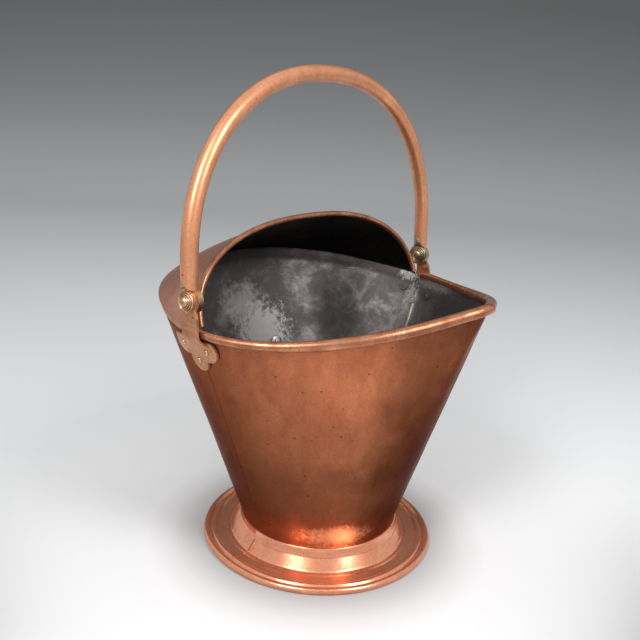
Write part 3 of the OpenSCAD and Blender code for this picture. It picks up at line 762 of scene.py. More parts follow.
@dataclass(frozen=True)
class Finishes:
    """All finishes of the scuttle."""

    body: Material
    hood: Material
    foot: Material
    bead: Material
    handle: Material
    bracket: Material
    bronze: Material
    far_bronze: Material
    tinned: Material
    # sooty tin under the hood, made darker still as painted shade
    soot: Material
    solder: Material
    wire: Material

    @classmethod
    def build(cls) -> Finishes:
        """Build every material once.

        Returns:
            The set of finishes.
        """
        return cls(
            # polished sheet copper, browned by handling
            body=CopperFinish(
                "polished_copper_body", "#E38C63", "#B56A4A", "#5A3626", 0.5, 0.2, (0.24, 0.42),
                bloom_mm=60.0, dent_height=0.2, edge_tint="#B09484",
                # painted light, shade and reflections, by turn round the body and by height
                turn_levels=(
                    (0, 0.3), (14, 0.42), (26, 0.56), (38, 0.86), (46, 0.88), (62, 0.72),
                    (88, 0.52), (106, 0.5), (180, 0.55),
                ),
                height_levels=(
                    (30, 1.0), (62, 0.6), (110, 0.46), (160, 0.64), (205, 0.86), (250, 0.98),
                ),
                # painted reflection of the foot: a bright patch on the wall just above it
                marks=(Mark((-54, -66, 42), (36, 34, 15), "#FFC49A", 0.85, 0.55, 5.0),),
            ).build(),
            # the hood is rubbed less: paler, pinker and duller
            hood=CopperFinish(
                "dulled_copper_hood", "#C9957C", "#A67460", "#5E4032", 0.5, 0.2, (0.3, 0.5),
            ).build(),
            # the foot is the brightest sheet
            foot=CopperFinish(
                "bright_copper_foot", "#FBAE8C", "#E09470", "#7A4526", 0.35, 0.2, (0.15, 0.3),
                bloom_mm=24.0, dent_height=0.3,
            ).build(),
            # rolled edges: rubbed metal with green and yellow deposits
            bead=CopperFinish(
                "rubbed_copper_edge", "#D69674", "#9C6246", "#3D2A1C", 0.4, 0.35, (0.2, 0.4),
                bloom_mm=18.0, spot_mm=5.0, dent_height=0.2, specks="#8A815A",
            ).build(),
            # drawn copper tube, polished by the hand
            handle=CopperFinish(
                "polished_copper_tube", "#F2A87F", "#D28E68", "#6B3F28", 0.35, 0.15, (0.24, 0.4),
                bloom_mm=30.0, dent_height=0.1, scratch=0.2, bare=0.65,
            ).build(),
            bracket=CopperFinish(
                "tarnished_copper_plate", "#DBA07A", "#AC7856", "#3B2417", 0.6, 0.35, (0.28, 0.48),
                bloom_mm=14.0, spot_mm=5.0, dent_height=0.12,
            ).build(),
            bronze=BronzeFinish("tarnished_cast_bronze", "#EBBE9A", "#B08C68", "#54452F").build(),
            # the right ear is left to a greyer, greener crust
            far_bronze=BronzeFinish("crusted_cast_bronze", "#C2AC8A", "#8E8570", "#4B463A").build(),
            tinned=TinnedFinish(
                # painted shade below the hood, between these heights in mm
                "tinned_copper_inside", "#938B89", "#5C5654", "#CFC8C5", hood_shade_rise=(258.0, 284.0),
                # pale and dark patches where the photograph has them
                marks=(
                    Mark((168, 14, 262), (10, 16, 9), "#D9D2C6", 0.85, 0.8),
                    Mark((34, 128, 192), (40, 30, 34), "#E2DBD9", 0.6, 0.8, 6.0),
                    Mark((10, 130, 230), (34, 30, 24), "#D2CBC9", 0.45, 0.7, 9.0),
                    Mark((122, 80, 205), (36, 48, 72), "#2A2625", 0.85, 0.3, 14.0),
                    Mark((164, 6, 232), (12, 9, 26), "#BDB6B0", 0.6, 0.7),
                    Mark((166, -28, 256), (14, 34, 8), "#BDB6B0", 0.5, 0.75),
                ),
            ).build(),
            # sooty tin under the hood, made darker still as painted shade
            soot=TinnedFinish("sooted_and_shaded_tin_hood", "#38322F", "#1A1715", "#7A726C", 0.6).build(),
            solder=TinnedFinish("soft_solder", "#C9C2B4", "#8A8276", "#E6E0D4", 0.4).build(),
            wire=BronzeFinish("drawn_iron_wire", "#6A6562", "#3F3A37", "#221E1C").build(),
        )


# ---------------------------------------------------------------- body
@dataclass(frozen=True)
class Body:
    """The egg-shaped cone of sheet copper, with the sizes that its rim and wall follow."""

    rim_half_w: float = 178.0
    front_reach: float = 165.0
    back_reach: float = 151.0
    front_power: float = 1.62
    back_power: float = 2.15
    beak_reach: float = 7.0
    beak_half_w: float = 19.0
    beak_start: float = 4.0
    low_z: float = 261.0
    low_y: float = -34.0
    spout_rise: float = 25.5
    spout_rise_power: float = 2.25
    back_rise: float = 25.0
    back_rise_power: float = 1.7
    foot_radius: float = 83.1
    neck_top: float = 26.6
    skirt: float = 8.0
    sheet: float = 1.2
    bead: float = 3.9                # radius beside the ears
    bead_growth: float = 1.3         # how much fuller it is round the spout
    growth_span: tuple[float, float] = (45.0, 75.0)     # degrees from full growth to none
    left_seam: float = 92.6
    right_seam: float = 90.4
    joggle: float = 0.9
    lap: float = 7.0

    def beak(self, t: np.ndarray) -> np.ndarray:
        """Return how far the beak adds to the reach at turns t.

        Args:
            t: turns from the spout in radians.

        Returns:
            Distances in millimetres.
        """
        x = self.rim_x(t)
        beak = self.beak_reach * np.exp(-((x / self.beak_half_w) ** 2))
        return np.where(np.cos(t) > 0, beak, 0.0)

    def rim_x(self, t: np.ndarray) -> np.ndarray:
        """Return x of the bead's middle at turns t."""
        power = np.where(np.cos(t) > 0, self.front_power, self.back_power)
        return self.rim_half_w * signed_pow(np.sin(t), 2 / power)

    def rim(self, t: np.ndarray) -> np.ndarray:
        """Return the bead's middle line.

        Args:
            t: turns from the spout in radians.

        Returns:
            Points in millimetres.
        """
        front = np.cos(t) > 0
        power = np.where(front, self.front_power, self.back_power)
        reach = np.where(front, self.front_reach, self.back_reach)
        y = -reach * signed_pow(np.cos(t), 2 / power) - self.beak(t)
        ahead = np.maximum(self.low_y - y, 0) / (self.low_y + self.front_reach)
        behind = np.maximum(y - self.low_y, 0) / (self.back_reach - self.low_y)
        z = self.low_z + self.spout_rise * ahead ** self.spout_rise_power
        z += self.back_rise * behind ** self.back_rise_power
        return np.stack([self.rim_x(t), y, z], axis=-1)

    def ring(self, radius: float, z: float, t: np.ndarray) -> np.ndarray:
        """Return points at turns t on a level circle."""
        return np.stack([radius * np.sin(t), -radius * np.cos(t), np.full_like(t, z)], axis=-1)

    def axes(self, t: np.ndarray) -> tuple[np.ndarray, np.ndarray]:
        """Return the rim's outward normals and upward directions at turns t.

        Args:
            t: turns from the spout in radians.

        Returns:
            Two arrays of unit vectors.
        """
        tangent = unit(self.rim(t + SMALL_TURN) - self.rim(t - SMALL_TURN))
        slope = unit(self.rim(t) - self.ring(self.foot_radius, self.neck_top, t))
        normal = unit(np.cross(tangent, slope))
        return normal, unit(np.cross(normal, tangent))

    def at_rim(self, t: np.ndarray, n: np.ndarray | float, s: np.ndarray | float) -> np.ndarray:
        """Return points that lie n outward and s upward from the bead's middle."""
        normal, up = self.axes(t)
        return self.rim(t) + np.asarray(n)[..., None] * normal + np.asarray(s)[..., None] * up

    def bead_at(self, t: np.ndarray) -> np.ndarray:
        """Return the rolled edge's radius at turns t."""
        away = np.degrees(np.abs((t + math.pi) % (2 * math.pi) - math.pi))
        full, plain = self.growth_span
        return self.bead + self.bead_growth * ease((plain - away) / (plain - full))

    def wall(
        self, t: np.ndarray, f: float, depth: float, top: np.ndarray | float | None = None
    ) -> np.ndarray:
        """Return points of the wall.

        Args:
            t: turns from the spout in radians.
            f: fraction of the wall's height.
            depth: depth below its outer surface.
            top: height of f = 1 relative to the bead's middle.

        Returns:
            Points in millimetres.
        """
        low = self.ring(self.foot_radius - depth, self.neck_top, t)
        high = self.at_rim(t, -depth, -self.bead_at(t) if top is None else top)
        points = low + (high - low) * f
        points[..., 1] += self.beak(t) * (f - f ** self.beak_start)
        return points


@dataclass(frozen=True)
class Dent:
    """A knock in the wall: its middle, its half sizes across and along its run, and its depth."""

    middle: Triple
    run: Triple
    half_w: float
    half_l: float
    depth: float


@dataclass
class BodyShell:
    """Front and back sheets with their knocks, the rolled rim, seams and floor."""

    finishes: Finishes
    shape: Body = field(default_factory=Body)
    stations: int = 330
    wall_rows: int = 64
    roll_steps: tuple[int, int] = (12, 22)
    wave: float = 0.42               # height of the sheet's slow waves in mm
    wave_sizes: tuple[float, float] = (62.0, 21.0)      # of the slow and the short waves
    bead_wear: float = 0.1           # height of the flats along the bead in mm
    solder_half_w: float = 2.5
    dents: tuple[Dent, ...] = (
        Dent((-137, -49, 199), (36, -24, -52), 2.6, 38, 0.55),
        Dent((-61, -95, 128), (13, -10, 6), 3.2, 9, 0.8),
        Dent((-66, -119, 206), (6, -14, -12), 6.0, 10, 0.45),
        Dent((-87, -95, 172), (4, 3, -16), 5.0, 9, 0.4),
        Dent((-30, -128, 180), (20, -6, -10), 7.0, 12, 0.5),
        Dent((-104, -66, 96), (10, -8, -16), 5.0, 14, 0.4),
        Dent((-48, -104, 92), (16, -8, 4), 4.0, 9, 0.5),
        Dent((88, -92, 170), (10, 14, -16), 7.0, 14, 0.5),
        Dent((60, 92, 120), (20, -10, -14), 8.0, 14, 0.5),
        Dent((-90, 78, 150), (12, 14, 10), 9.0, 16, 0.5),
    )

    def waved(self, points: np.ndarray, turns: np.ndarray, fade: np.ndarray) -> np.ndarray:
        """Move the wall's points along its normals by waves and knocks.

        Args:
            points: stations by rows of points.
            turns: turns of the stations.
            fade: 0 to 1 for each row, so that edges keep their place.

        Returns:
            The moved points.
        """
        normal, _ = self.shape.axes(turns)
        slow, short = self.wave_sizes
        shift = self.wave * (noise_at(points, slow, 3.1) + 0.4 * noise_at(points, short, 8.7))
        for dent in self.dents:
            run = np.array(dent.run) / np.linalg.norm(dent.run)
            offset = points - np.array(dent.middle)
            along = offset @ run
            across2 = np.maximum((offset ** 2).sum(-1) - along ** 2, 0.0)
            shift -= dent.depth * np.exp(-across2 / dent.half_w ** 2 - (along / dent.half_l) ** 2)
        shift *= fade[None, :] * between_ends(turns, 0.06)[:, None]
        return points + shift[..., None] * normal[:, None, :]

    def faces_of_wall(
        self, turns: np.ndarray, depth: float, top: np.ndarray | float
    ) -> np.ndarray:
        """Return the rows of one face of the wall, from the skirt up.

        Args:
            turns: turns from the spout in radians.
            depth: depth below the outer surface.
            top: where the face ends, from the bead's middle.

        Returns:
            Stations by rows of points.
        """
        rows = np.linspace(0.0, 1.0, self.wall_rows)
        wall = np.stack([self.shape.wall(turns, f, depth, top) for f in rows], axis=1)
        wall = self.waved(wall, turns, faded(rows, 0.12, 0.1))
        low = self.shape.ring(
            self.shape.foot_radius - depth, self.shape.neck_top - self.shape.skirt, turns
        )
        return np.concatenate([low[:, None, :], wall], axis=1)

    def build_front(self) -> Piece:
        """Build the front sheet with its edge rolled over the rim wire.

        Returns:
            The new piece.
        """
        body = self.shape
        turns = roll_angles(-body.left_seam, body.right_seam, self.stations)
        bead = body.bead_at(turns)
        outer = self.faces_of_wall(turns, 0.0, -bead)
        inner = self.faces_of_wall(turns, body.sheet, -bead)
        hidden, shown = rolled_edge(
            lambda n, s: body.at_rim(turns, n, s), bead, body.sheet, self.roll_steps, 248
        )
        # the bead is worn: small flats and bumps along its length
        wear = self.bead_wear * (noise_at(shown, 7.0, 5.0) - 1)
        shown = shown + wear[..., None] * unit(shown - body.rim(turns)[:, None, :])
        outline = np.concatenate([outer, hidden, shown, inner[:, ::-1, :]], axis=1)
        edge = hidden.shape[1] + shown.shape[1]
        skins = sheet_skins(outer.shape[1], edge, inner.shape[1])
        materials = [self.finishes.body, self.finishes.tinned, self.finishes.bead]
        piece = ring_sheet("front_sheet", outline, skins, materials, sharp_deg=55.0)
        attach(piece, "scuttle")
        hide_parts("front_panel")
        return piece

    def build_back(self) -> Piece:
        """Build the back sheet, set in under the hood's lap.

        Returns:
            The new piece.
        """
        body = self.shape
        slack = 0.05     # degrees
        first, last = body.right_seam + slack, 360 - body.left_seam - slack
        turns = roll_angles(first, last, self.stations)
        crease = -(body.lap + 4.0)
        faces = []
        for depth in (0.0, body.sheet):
            face = self.faces_of_wall(turns, depth, crease)
            rise = [
                body.at_rim(turns, -depth - body.joggle, s) for s in (-(body.lap + 2.0), -1.0)
            ]
            faces.append(np.concatenate([face, np.stack(rise, axis=1)], axis=1))
        outer, inner = faces
        outline = np.concatenate([outer, inner[:, ::-1, :]], axis=1)
        skins = sheet_skins(outer.shape[1], 0, inner.shape[1])
        materials = [self.finishes.body, self.finishes.tinned]
        piece = ring_sheet("back_sheet", outline, skins, materials, sharp_deg=55.0)
        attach(piece, "scuttle")
        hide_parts("back_panel")
        return piece

    def build_seam(self, side: int) -> Piece:
        """Build the ragged line of solder inside one side seam.

        Args:
            side: -1 for the left seam and 1 for the right one.

        Returns:
            The new piece.
        """
        body = self.shape
        turn = math.radians(body.left_seam if side < 0 else body.right_seam)
        rows, columns = 90, 9
        grid = np.zeros((rows, columns, 3))
        base = np.zeros((rows, columns, 3))
        for i, f in enumerate(np.linspace(0.02, 0.93, rows)):
            radius = body.foot_radius + (body.rim_half_w - body.foot_radius) * f
            half = self.solder_half_w + 0.9 * noise.noise(Vector((f * 23, side * 4.0, 0.5)))
            drift = 0.8 * noise.noise(Vector((f * 9, side * 2.0, 7.5)))
            for j, across in enumerate(np.linspace(-1, 1, columns)):
                t = np.array([side * turn + (across * half + drift) / radius])
                lump = 1 + 0.35 * noise.noise(Vector((f * 60, across, side * 3.0)))
                high = 0.15 + 0.5 * math.sqrt(max(1 - across * across, 0)) * lump
                grid[i, j] = body.wall(t, f, body.sheet + high)[0]
                base[i, j] = body.wall(t, f, body.sheet + 0.1)[0]
        outline = np.concatenate([grid, base[:, ::-1, :]], axis=1)
        name = "left_seam" if side < 0 else "right_seam"
        piece = ring_sheet(name, outline, [0] * outline.shape[1], [self.finishes.solder])
        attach(piece, "scuttle")
        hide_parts("left_seam_solder" if side < 0 else "right_seam_solder")
        return piece

    def build(self) -> list[Piece]:
        """Build the whole shell.

        Returns:
            Its pieces.
        """
        pan = refined("floor_pan", "floor_sheet", [self.finishes.tinned], 0.4)
        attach(pan, "scuttle")
        return [self.build_front(), self.build_back(), self.build_seam(-1), self.build_seam(1), pan]


# ---------------------------------------------------------------- hood
@dataclass
class Hood:
    """The half dome of sheet that leans over the back of the mouth."""

    finishes: Finishes
    body: Body = field(default_factory=Body)
    half_w: float = 171.0
    rise: float = 88.0
    power: float = 2.38
    base_y: float = 6.1
    base_z: float = 260.2
    lean_deg: float = 19.2
    bead: float = 2.6
    crown: float = 0.03
    first_turn: float = 93.2
    first_angle: float = 2.4
    lap_gap: float = 0.3
    lap_top: float = 0.6             # where the lap ends, above the rim's middle
    stations: int = 260
    rows: int = 44
    roll_steps: tuple[int, int] = (10, 18)
    wave: float = 0.45               # height of the sheet's slow waves in mm
    wave_sizes: tuple[float, float] = (55.0, 18.0)      # of the slow and the short waves

    def edge(self, p: np.ndarray) -> np.ndarray:
        """Return the middle line of the hood's wired edge at arch angles p.

        Args:
            p: arch angles in radians, 0 at the right ear.

        Returns:
            Points in millimetres.
        """
        rise = self.rise * np.abs(np.sin(p)) ** (2 / self.power)
        lean = math.radians(self.lean_deg)
        x = self.half_w * signed_pow(np.cos(p), 2 / self.power)
        y, z = self.base_y + rise * math.sin(lean), self.base_z + rise * math.cos(lean)
        return np.stack([x, y, z], axis=-1)

    def turn(self, p: np.ndarray) -> np.ndarray:
        """Return the turn on the body's rim from which the sheet runs to arch angle p.

        Args:
            p: arch angles in radians.

        Returns:
            Turns from the spout in radians.
        """
        first = math.radians(self.first_turn)
        half = first + (math.pi - first) * (1 - np.abs(np.cos(p)))
        return np.where(p <= math.pi / 2, half, 2 * math.pi - half)

    def axes(self, p: np.ndarray) -> tuple[np.ndarray, np.ndarray]:
        """Return the outward normals and the forward directions at arch angles p.

        Args:
            p: arch angles in radians.

        Returns:
            Two arrays of unit vectors.
        """
        tangent = unit(self.edge(p + SMALL_TURN) - self.edge(p - SMALL_TURN))
        chord = unit(self.edge(p) - self.body.rim(self.turn(p)))
        normal = unit(np.cross(tangent, chord))
        return normal, unit(np.cross(normal, tangent))

    def at_edge(self, p: np.ndarray, n: float, s: float) -> np.ndarray:
        """Return points n outward and s forward of the wired edge's middle."""
        normal, ahead = self.axes(p)
        return self.edge(p) + n * normal + s * ahead

    def build(self) -> list[Piece]:
        """Build the hood.

        Returns:
            Its one piece.
        """
        body = self.body
        p = roll_angles(self.first_angle, 180 - self.first_angle, self.stations)
        turns = self.turn(p)
        normal, _ = self.axes(p)
        length = np.linalg.norm(self.edge(p) - body.rim(turns), axis=-1)
        set_in = self.lap_gap - body.joggle
        fractions = np.linspace(0, 1, self.rows + 1)[:-1]

        def face(depth: float) -> np.ndarray:
            """Return one face of the sheet, from its lap to just below the wired edge.

            Args:
                depth: depth below the outer surface.

            Returns:
                Stations by rows of points.
            """
            *rows, low = (
                body.at_rim(turns, set_in + body.sheet - depth, s)
                for s in (-body.lap, -body.lap / 2, self.lap_top)
            )
            high = self.at_edge(p, -depth, -self.bead)
            for f in fractions:
                lift = self.crown * length * np.sin(math.pi * f ** 0.8)
                rows.append(low + (high - low) * f + lift[:, None] * normal)
            stack = np.stack(rows, axis=1)
            slow, short = self.wave_sizes
            shift = self.wave * (noise_at(stack, slow, 11.0) + noise_at(stack, short, 2.0) / 3)
            weights = np.concatenate([[0.0, 0.0], faded(fractions, 0.15, 0.1)])
            shift *= weights[None, :] * between_ends(p, 0.25)[:, None]
            return stack + shift[..., None] * normal[:, None, :]

        outer, inner = face(0.0), face(body.sheet)
        hidden, shown = rolled_edge(
            lambda n, s: self.at_edge(p, n, s), self.bead, body.sheet, self.roll_steps, 242
        )
        outline = np.concatenate([outer, hidden, shown, inner[:, ::-1, :]], axis=1)
        edge = hidden.shape[1] + shown.shape[1]
        skins = sheet_skins(outer.shape[1], edge, inner.shape[1])
        # the hood's inside gets the sooty tin with its painted shade
        materials = [self.finishes.hood, self.finishes.soot, self.finishes.bead]
        piece = ring_sheet("hood_sheet", outline, skins, materials, sharp_deg=55.0)
        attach(piece, "scuttle")
        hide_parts("hood")
        return [piece]


# ---------------------------------------------------------------- foot
@dataclass
class Foot:
    """The moulded skirt, its rolled edge, its lapped joint and the strap round its neck."""

    finishes: Finishes
    neck_r: float = 84.4
    neck_top: float = 26.6
    cone_top: float = 21.3
    edge_r: float = 120.4
    bead: float = 3.6
    sheet: float = 1.2
    lap_deg: float = 170.6
    lap_len_deg: float = 16.0
    band_gap_deg: float = 45.0
    bump: Triple = (112.6, 4.6, 2.3)  # radius and height of the ridge's middle, and its rise
    bump_half_w: float = 3.2
    flat_z: float = 4.5               # of the groove inside the rolled edge
    groove_r: float = 116.4

    def line(self) -> np.ndarray:
        """Return the skirt's outer line from the neck to the underside of the rolled edge.

        Returns:
            Points of radius and height in millimetres.
        """
        neck = self.neck_r
        points = rounded([
            (neck, self.neck_top), (neck, self.neck_top - 0.5), (neck, self.cone_top + 1),
            (neck, self.cone_top), (neck + 0.7, self.cone_top - 1.04), (93.2, 8.3), (93.8, 7.4),
            (94.8, 6.2), (96.1, 5.6), (97.3, 6.0), (98.4, 6.1), (99.4, 5.8), (100.5, 5.4),
            (102.0, 5.2), (105.0, 5.0), (109.0, 4.6),
        ], 2)
        ridge_r, ridge_z, rise = self.bump
        for a in roll_angles(158, 22, 14):
            points.append((ridge_r + self.bump_half_w * math.cos(a), ridge_z + rise * math.sin(a)))
        points.append((self.groove_r, self.flat_z))
        edge_z = self.bead * math.cos(math.radians(15))
        for a in (*roll_angles(155, -75, 23), math.radians(-105)):
            points.append((self.edge_r + self.bead * math.cos(a), edge_z + self.bead * math.sin(a)))
        return np.array(points)

    def offset(self, line: np.ndarray, distance: float) -> np.ndarray:
        """Return the line moved square to itself, inward for a positive distance.

        Args:
            line: points of radius and height.
            distance: how far it moves.

        Returns:
            The moved line.
        """
        ahead = np.roll(line, -1, axis=0)
        behind = np.roll(line, 1, axis=0)
        ahead[-1], behind[0] = line[-1], line[0]
        run = unit(ahead - behind)
        return line + distance * np.stack([run[:, 1], -run[:, 0]], axis=-1)

    def build_skirt(self) -> Piece:
        """Build the moulded skirt, slightly out of true as hand work is.

        Returns:
            The new piece.
        """
        line = self.line()
        outline = np.concatenate([line, self.offset(line, self.sheet)[::-1]])
        turns = np.linspace(0, 2 * math.pi, 361)[:-1]

        def bend(points: np.ndarray) -> np.ndarray:
            """Let the middle of the skirt wave a little.

            Args:
                points: stations by points.

            Returns:
                The moved points.
            """
            radius = np.hypot(points[..., 0], points[..., 1])
            weight = ease((radius - 86) / 8) * ease((118 - radius) / 6)
            points[..., 2] += 0.22 * weight * noise_at(points * (1, 1, 0), 34.0, 6.0)
            return points

        piece = revolved("foot_moulding", outline, self.finishes.foot, turns, bend)
        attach(piece, "scuttle")
        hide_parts("foot_skirt")
        return piece

    def build_lap(self) -> Piece:
        """Build the joint's second thickness, which thins out behind its raised edge.

        Returns:
            The new piece.
        """
        line = self.line()
        line = line[(line[:, 0] <= self.groove_r - 0.9) & (line[:, 1] < self.neck_top - 0.3)]
        stations = []
        for part in np.linspace(0, 1, 25):
            thick = 0.05 + 0.9 * (1 - part) + 0.1 * part
            low, high = self.offset(line, -0.03), self.offset(line, -thick)
            r, z = np.concatenate([high, low[::-1]]).T
            wander = np.array([0.2 * noise.noise(Vector((x * 0.3, 2.0, 0.0))) for x in r])
            angle = np.radians(self.lap_deg - self.lap_len_deg * part + wander)
            stations.append(np.stack([r * np.cos(angle), r * np.sin(angle), z], axis=-1))
        finishes = [self.finishes.foot, self.finishes.bead]
        piece = ring_sheet(
            "foot_lap", np.array(stations), [0] * 2 * len(line), finishes, cap_skin=1
        )
        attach(piece, "scuttle")
        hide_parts("foot_lap_joint")
        return piece

    def build_band(self) -> Piece:
        """Build the rounded strap round the neck.

        Returns:
            The new piece.
        """
        inner, top = self.neck_r + 0.05, self.neck_top + 0.2
        points = rounded([
            (86.9, 18.1), (88.1, 18.3), (88.2, 18.8), (inner + 2.3, 21.6), (inner + 1.3, 24.6),
            (inner + 0.9, 26.2), (inner + 0.4, top),
        ], 2)
        points += [(inner, top), (inner, self.cone_top + 0.1)]
        start = math.radians(self.lap_deg + 0.2)
        turns = np.linspace(start, start + 2 * math.pi - math.radians(self.band_gap_deg), 300)
        piece = revolved("neck_strap", np.array(points), self.finishes.foot, turns)
        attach(piece, "scuttle")
        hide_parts("neck_band")
        return piece

    def build(self) -> list[Piece]:
        """Build the whole foot.

        Returns:
            Its pieces.
        """
        return [self.build_skirt(), self.build_lap(), self.build_band()]


# ---------------------------------------------------------------- bail
@dataclass
class Bail:
    """The tubular handle with a tongue at each end and the cast eyes that it turns on."""

    finishes: Finishes
    half_w: float = 182.4
    rise: float = 166.2
    leg: float = 27.8
    power: float = 2.22
    tube_r: float = 7.7
    wall: float = 1.2
    lean_deg: float = 2.95
    base: Triple = (0.0, 9.5, 287.0)
    hinge: Triple = (0.0, 9.0, 288.2)
    hinge_dip_deg: float = 0.96
    hinge_turn_deg: float = 0.3
    mouth_low: float = 2.0
    mouth_h: float = 20.0
    cheek_r: float = 12.2            # cut beside the boss
    head_cut_r: float = 10.6         # cut beside the ringed head
    eye_half: float = 2.5
    stations: int = 220
    sides: int = 64

    def centre(self, u: np.ndarray) -> np.ndarray:
        """Return the tube's middle line over the arch, in the upright frame of the pivot.

        Args:
            u: arch angles in radians, 0 at the left leg.

        Returns:
            Points in millimetres.
        """
        x = -self.half_w * signed_pow(np.cos(u), 2 / self.power)
        z = self.leg + self.rise * np.abs(np.sin(u)) ** (2 / self.power)
        return np.stack([x, np.zeros_like(u), z], axis=-1)

    def pivot(self, side: int) -> np.ndarray:
        """Return y and z of the hinge at one leg, in the upright frame of the legs' feet.

        Args:
            side: -1 for the left leg and 1 for the right one.

        Returns:
            The two coordinates in millimetres.
        """
        x = side * self.half_w
        offset = np.subtract(self.hinge, self.base) + (
            0.0, x * math.sin(math.radians(self.hinge_turn_deg)),
            -x * math.sin(math.radians(self.hinge_dip_deg)),
        )
        return (offset @ self.lean())[1:]

    def end_height(self, out: np.ndarray, y: np.ndarray, side: int) -> np.ndarray:
        """Return the height at which the tube is cut.

        Args:
            out: offset from the leg's middle, positive away from the scuttle's middle.
            y: offset toward the back.
            side: -1 for the left leg and 1 for the right one.

        Returns:
            The height above the leg's foot.
        """
        reach = np.clip((self.tube_r - y) / (2 * self.tube_r), 0, 1)
        cut = self.mouth_low + self.mouth_h * np.sqrt(np.maximum(1 - reach ** 2, 0))
        pivot_y, pivot_z = self.pivot(side)
        radius = np.where(out > 0, self.head_cut_r, self.cheek_r)
        cheek = pivot_z + np.sqrt(np.maximum(radius ** 2 - (y - pivot_y) ** 2, 0))
        beside = np.abs(out) > self.eye_half
        return np.where(beside, np.maximum(cut, cheek), cut)

    def tube_points(self, radius: float) -> np.ndarray:
        """Return the rings of one surface of the tube, from the left end to the right one.

        Args:
            radius: radius of the surface.

        Returns:
            Rings by points around the tube.
        """
        angle = np.linspace(0, 2 * math.pi, self.sides, endpoint=False) + math.pi / self.sides
        out, y = radius * np.cos(angle), radius * np.sin(angle)

        def leg(side: int) -> list[np.ndarray]:
            """Return the rings of one straight leg from its cut end up.

            Args:
                side: -1 for the left leg and 1 for the right one.

            Returns:
                Rings from the cut end to the arch.
            """
            cut = self.end_height(out, y, side)
            return [
                np.stack([side * (self.half_w + out), y, cut + (self.leg - cut) * part], axis=-1)
                for part in np.linspace(0, 1, 14)[:-1]
            ]

        u = np.linspace(0, math.pi, self.stations)
        u = u + 1e-4 * np.cos(u)
        step = 1e-3
        tangent = unit(self.centre(u + step) - self.centre(u - step))
        tangent[0] = (0, 0, 1)
        tangent[-1] = (0, 0, -1)
        back = np.array((0.0, 1.0, 0.0))
        side = np.cross(tangent, back)
        arch = [
            middle + np.outer(out, direction) + np.outer(y, back)
            for middle, direction in zip(self.centre(u), side)
        ]
        return np.array([*leg(-1), *arch, *reversed(leg(1))])

    def lean(self) -> np.ndarray:
        """Return the matrix that leans the upright bail back."""
        return np.array(Matrix.Rotation(-math.radians(self.lean_deg), 3, "X"))

    def place(self, points: np.ndarray) -> np.ndarray:
        """Lean the upright points back and move them to their place."""
        return points @ self.lean().T + np.array(self.base)

    def build(self) -> list[Piece]:
        """Build the handle and its eyes.

        Returns:
            Their pieces.
        """
        outer, inner = self.tube_points(self.tube_r), self.tube_points(self.tube_r - self.wall)
        worn = 0.05 * noise_at(outer, 24.0, 4.0)
        away = unit(outer - outer.mean(axis=1, keepdims=True))
        outer = outer + worn[..., None] * away
        rows, columns = outer.shape[:2]
        count = rows * columns
        skin = grid_faces(rows, columns, False, True)
        faces = [tuple(q[::-1]) for q in skin] + [tuple(count + q) for q in skin]
        for row, flip in ((0, False), (rows - 1, True)):
            for c in range(columns):
                n = (c + 1) % columns
                a, b = row * columns + c, row * columns + n
                quad = (a, b, count + b, count + a)
                faces.append(quad[::-1] if flip else quad)
        points = np.concatenate([self.place(face).reshape(-1, 3) for face in (outer, inner)])
        tube = make_piece("bail_handle", points, faces, [self.finishes.handle], sharp_deg=50.0)
        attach(tube, "bail")
        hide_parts("bail_tube")
        pieces = [tube]
        for side in ("left", "right"):
            cast = self.finishes.bronze if side == "left" else self.finishes.far_bronze
            eye = refined(f"{side}_bail_eye", f"{side}_eye", [cast], 0.5)
            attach(eye, "bail")
            pieces.append(eye)
        return pieces


# ---------------------------------------------------------------- fittings
@dataclass
class Fittings:
    """Brackets, pins, bosses, rivets and the rear grip, with softened edges."""

    finishes: Finishes

    def tin_tails(self, piece: Piece) -> None:
        """Give the second finish to the rivets' ends inside the body, which were tinned over.

        Args:
            piece: the rivets of one ear.
        """
        for face in piece.data.polygons:
            x, y = face.center[0], face.center[1]
            outward = (face.normal[0] * x + face.normal[1] * y) / math.hypot(x, y)
            if outward < -0.6:
                face.material_index = 1

    def build(self) -> list[Piece]:
        """Build all fittings.

        Returns:
            Their pieces.
        """
        near, far = self.finishes.bronze, self.finishes.far_bronze
        plate, tin = self.finishes.bracket, self.finishes.tinned
        # node: name of its piece, finish, slot and bevel in millimetres
        looks = {
            "left_bracket": ("left_ear_plate", plate, "copper_bracket", 0.45),
            "right_bracket": ("right_ear_plate", plate, "copper_bracket", 0.45),
            "left_pivot_pin": ("left_ringed_pin", near, "aged_bronze", 0.12),
            "right_pivot_pin": ("right_ringed_pin", far, "aged_bronze", 0.12),
            "left_inner_boss": ("left_ringed_boss", near, "aged_bronze", 0.12),
            "right_inner_boss": ("right_ringed_boss", far, "aged_bronze", 0.12),
            "left_bracket_rivets": ("left_plate_rivets", near, "copper_bracket", 0.1),
            "right_bracket_rivets": ("right_plate_rivets", far, "copper_bracket", 0.1),
            "left_rivet_roves": ("left_roves", tin, "tinned_sheet", 0.2),
            "right_rivet_roves": ("right_roves", tin, "tinned_sheet", 0.2),
            "rear_grip": ("rear_handle", self.finishes.handle, "copper_handle", 0.0),
            "rear_grip_flanges": ("rear_flanges", near, "aged_bronze", 0.3),
            "rear_grip_rivets": ("rear_rivets", tin, "aged_bronze", 0.1),
            "rear_grip_roves": ("rear_roves", tin, "tinned_sheet", 0.2),
        }
        pieces = []
        for node, (name, material, slot, bevel) in looks.items():
            piece = refined(node, name, [material, tin], bevel)
            if node.endswith("bracket_rivets"):
                self.tin_tails(piece)
            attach(piece, "scuttle")
            pieces.append(piece)
        for node in ("front_rim_wire", "hood_edge_wire", "foot_edge_wire"):
            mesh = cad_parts[node].data
            mesh.materials.clear()
            mesh.materials.append(self.finishes.wire)
        return pieces


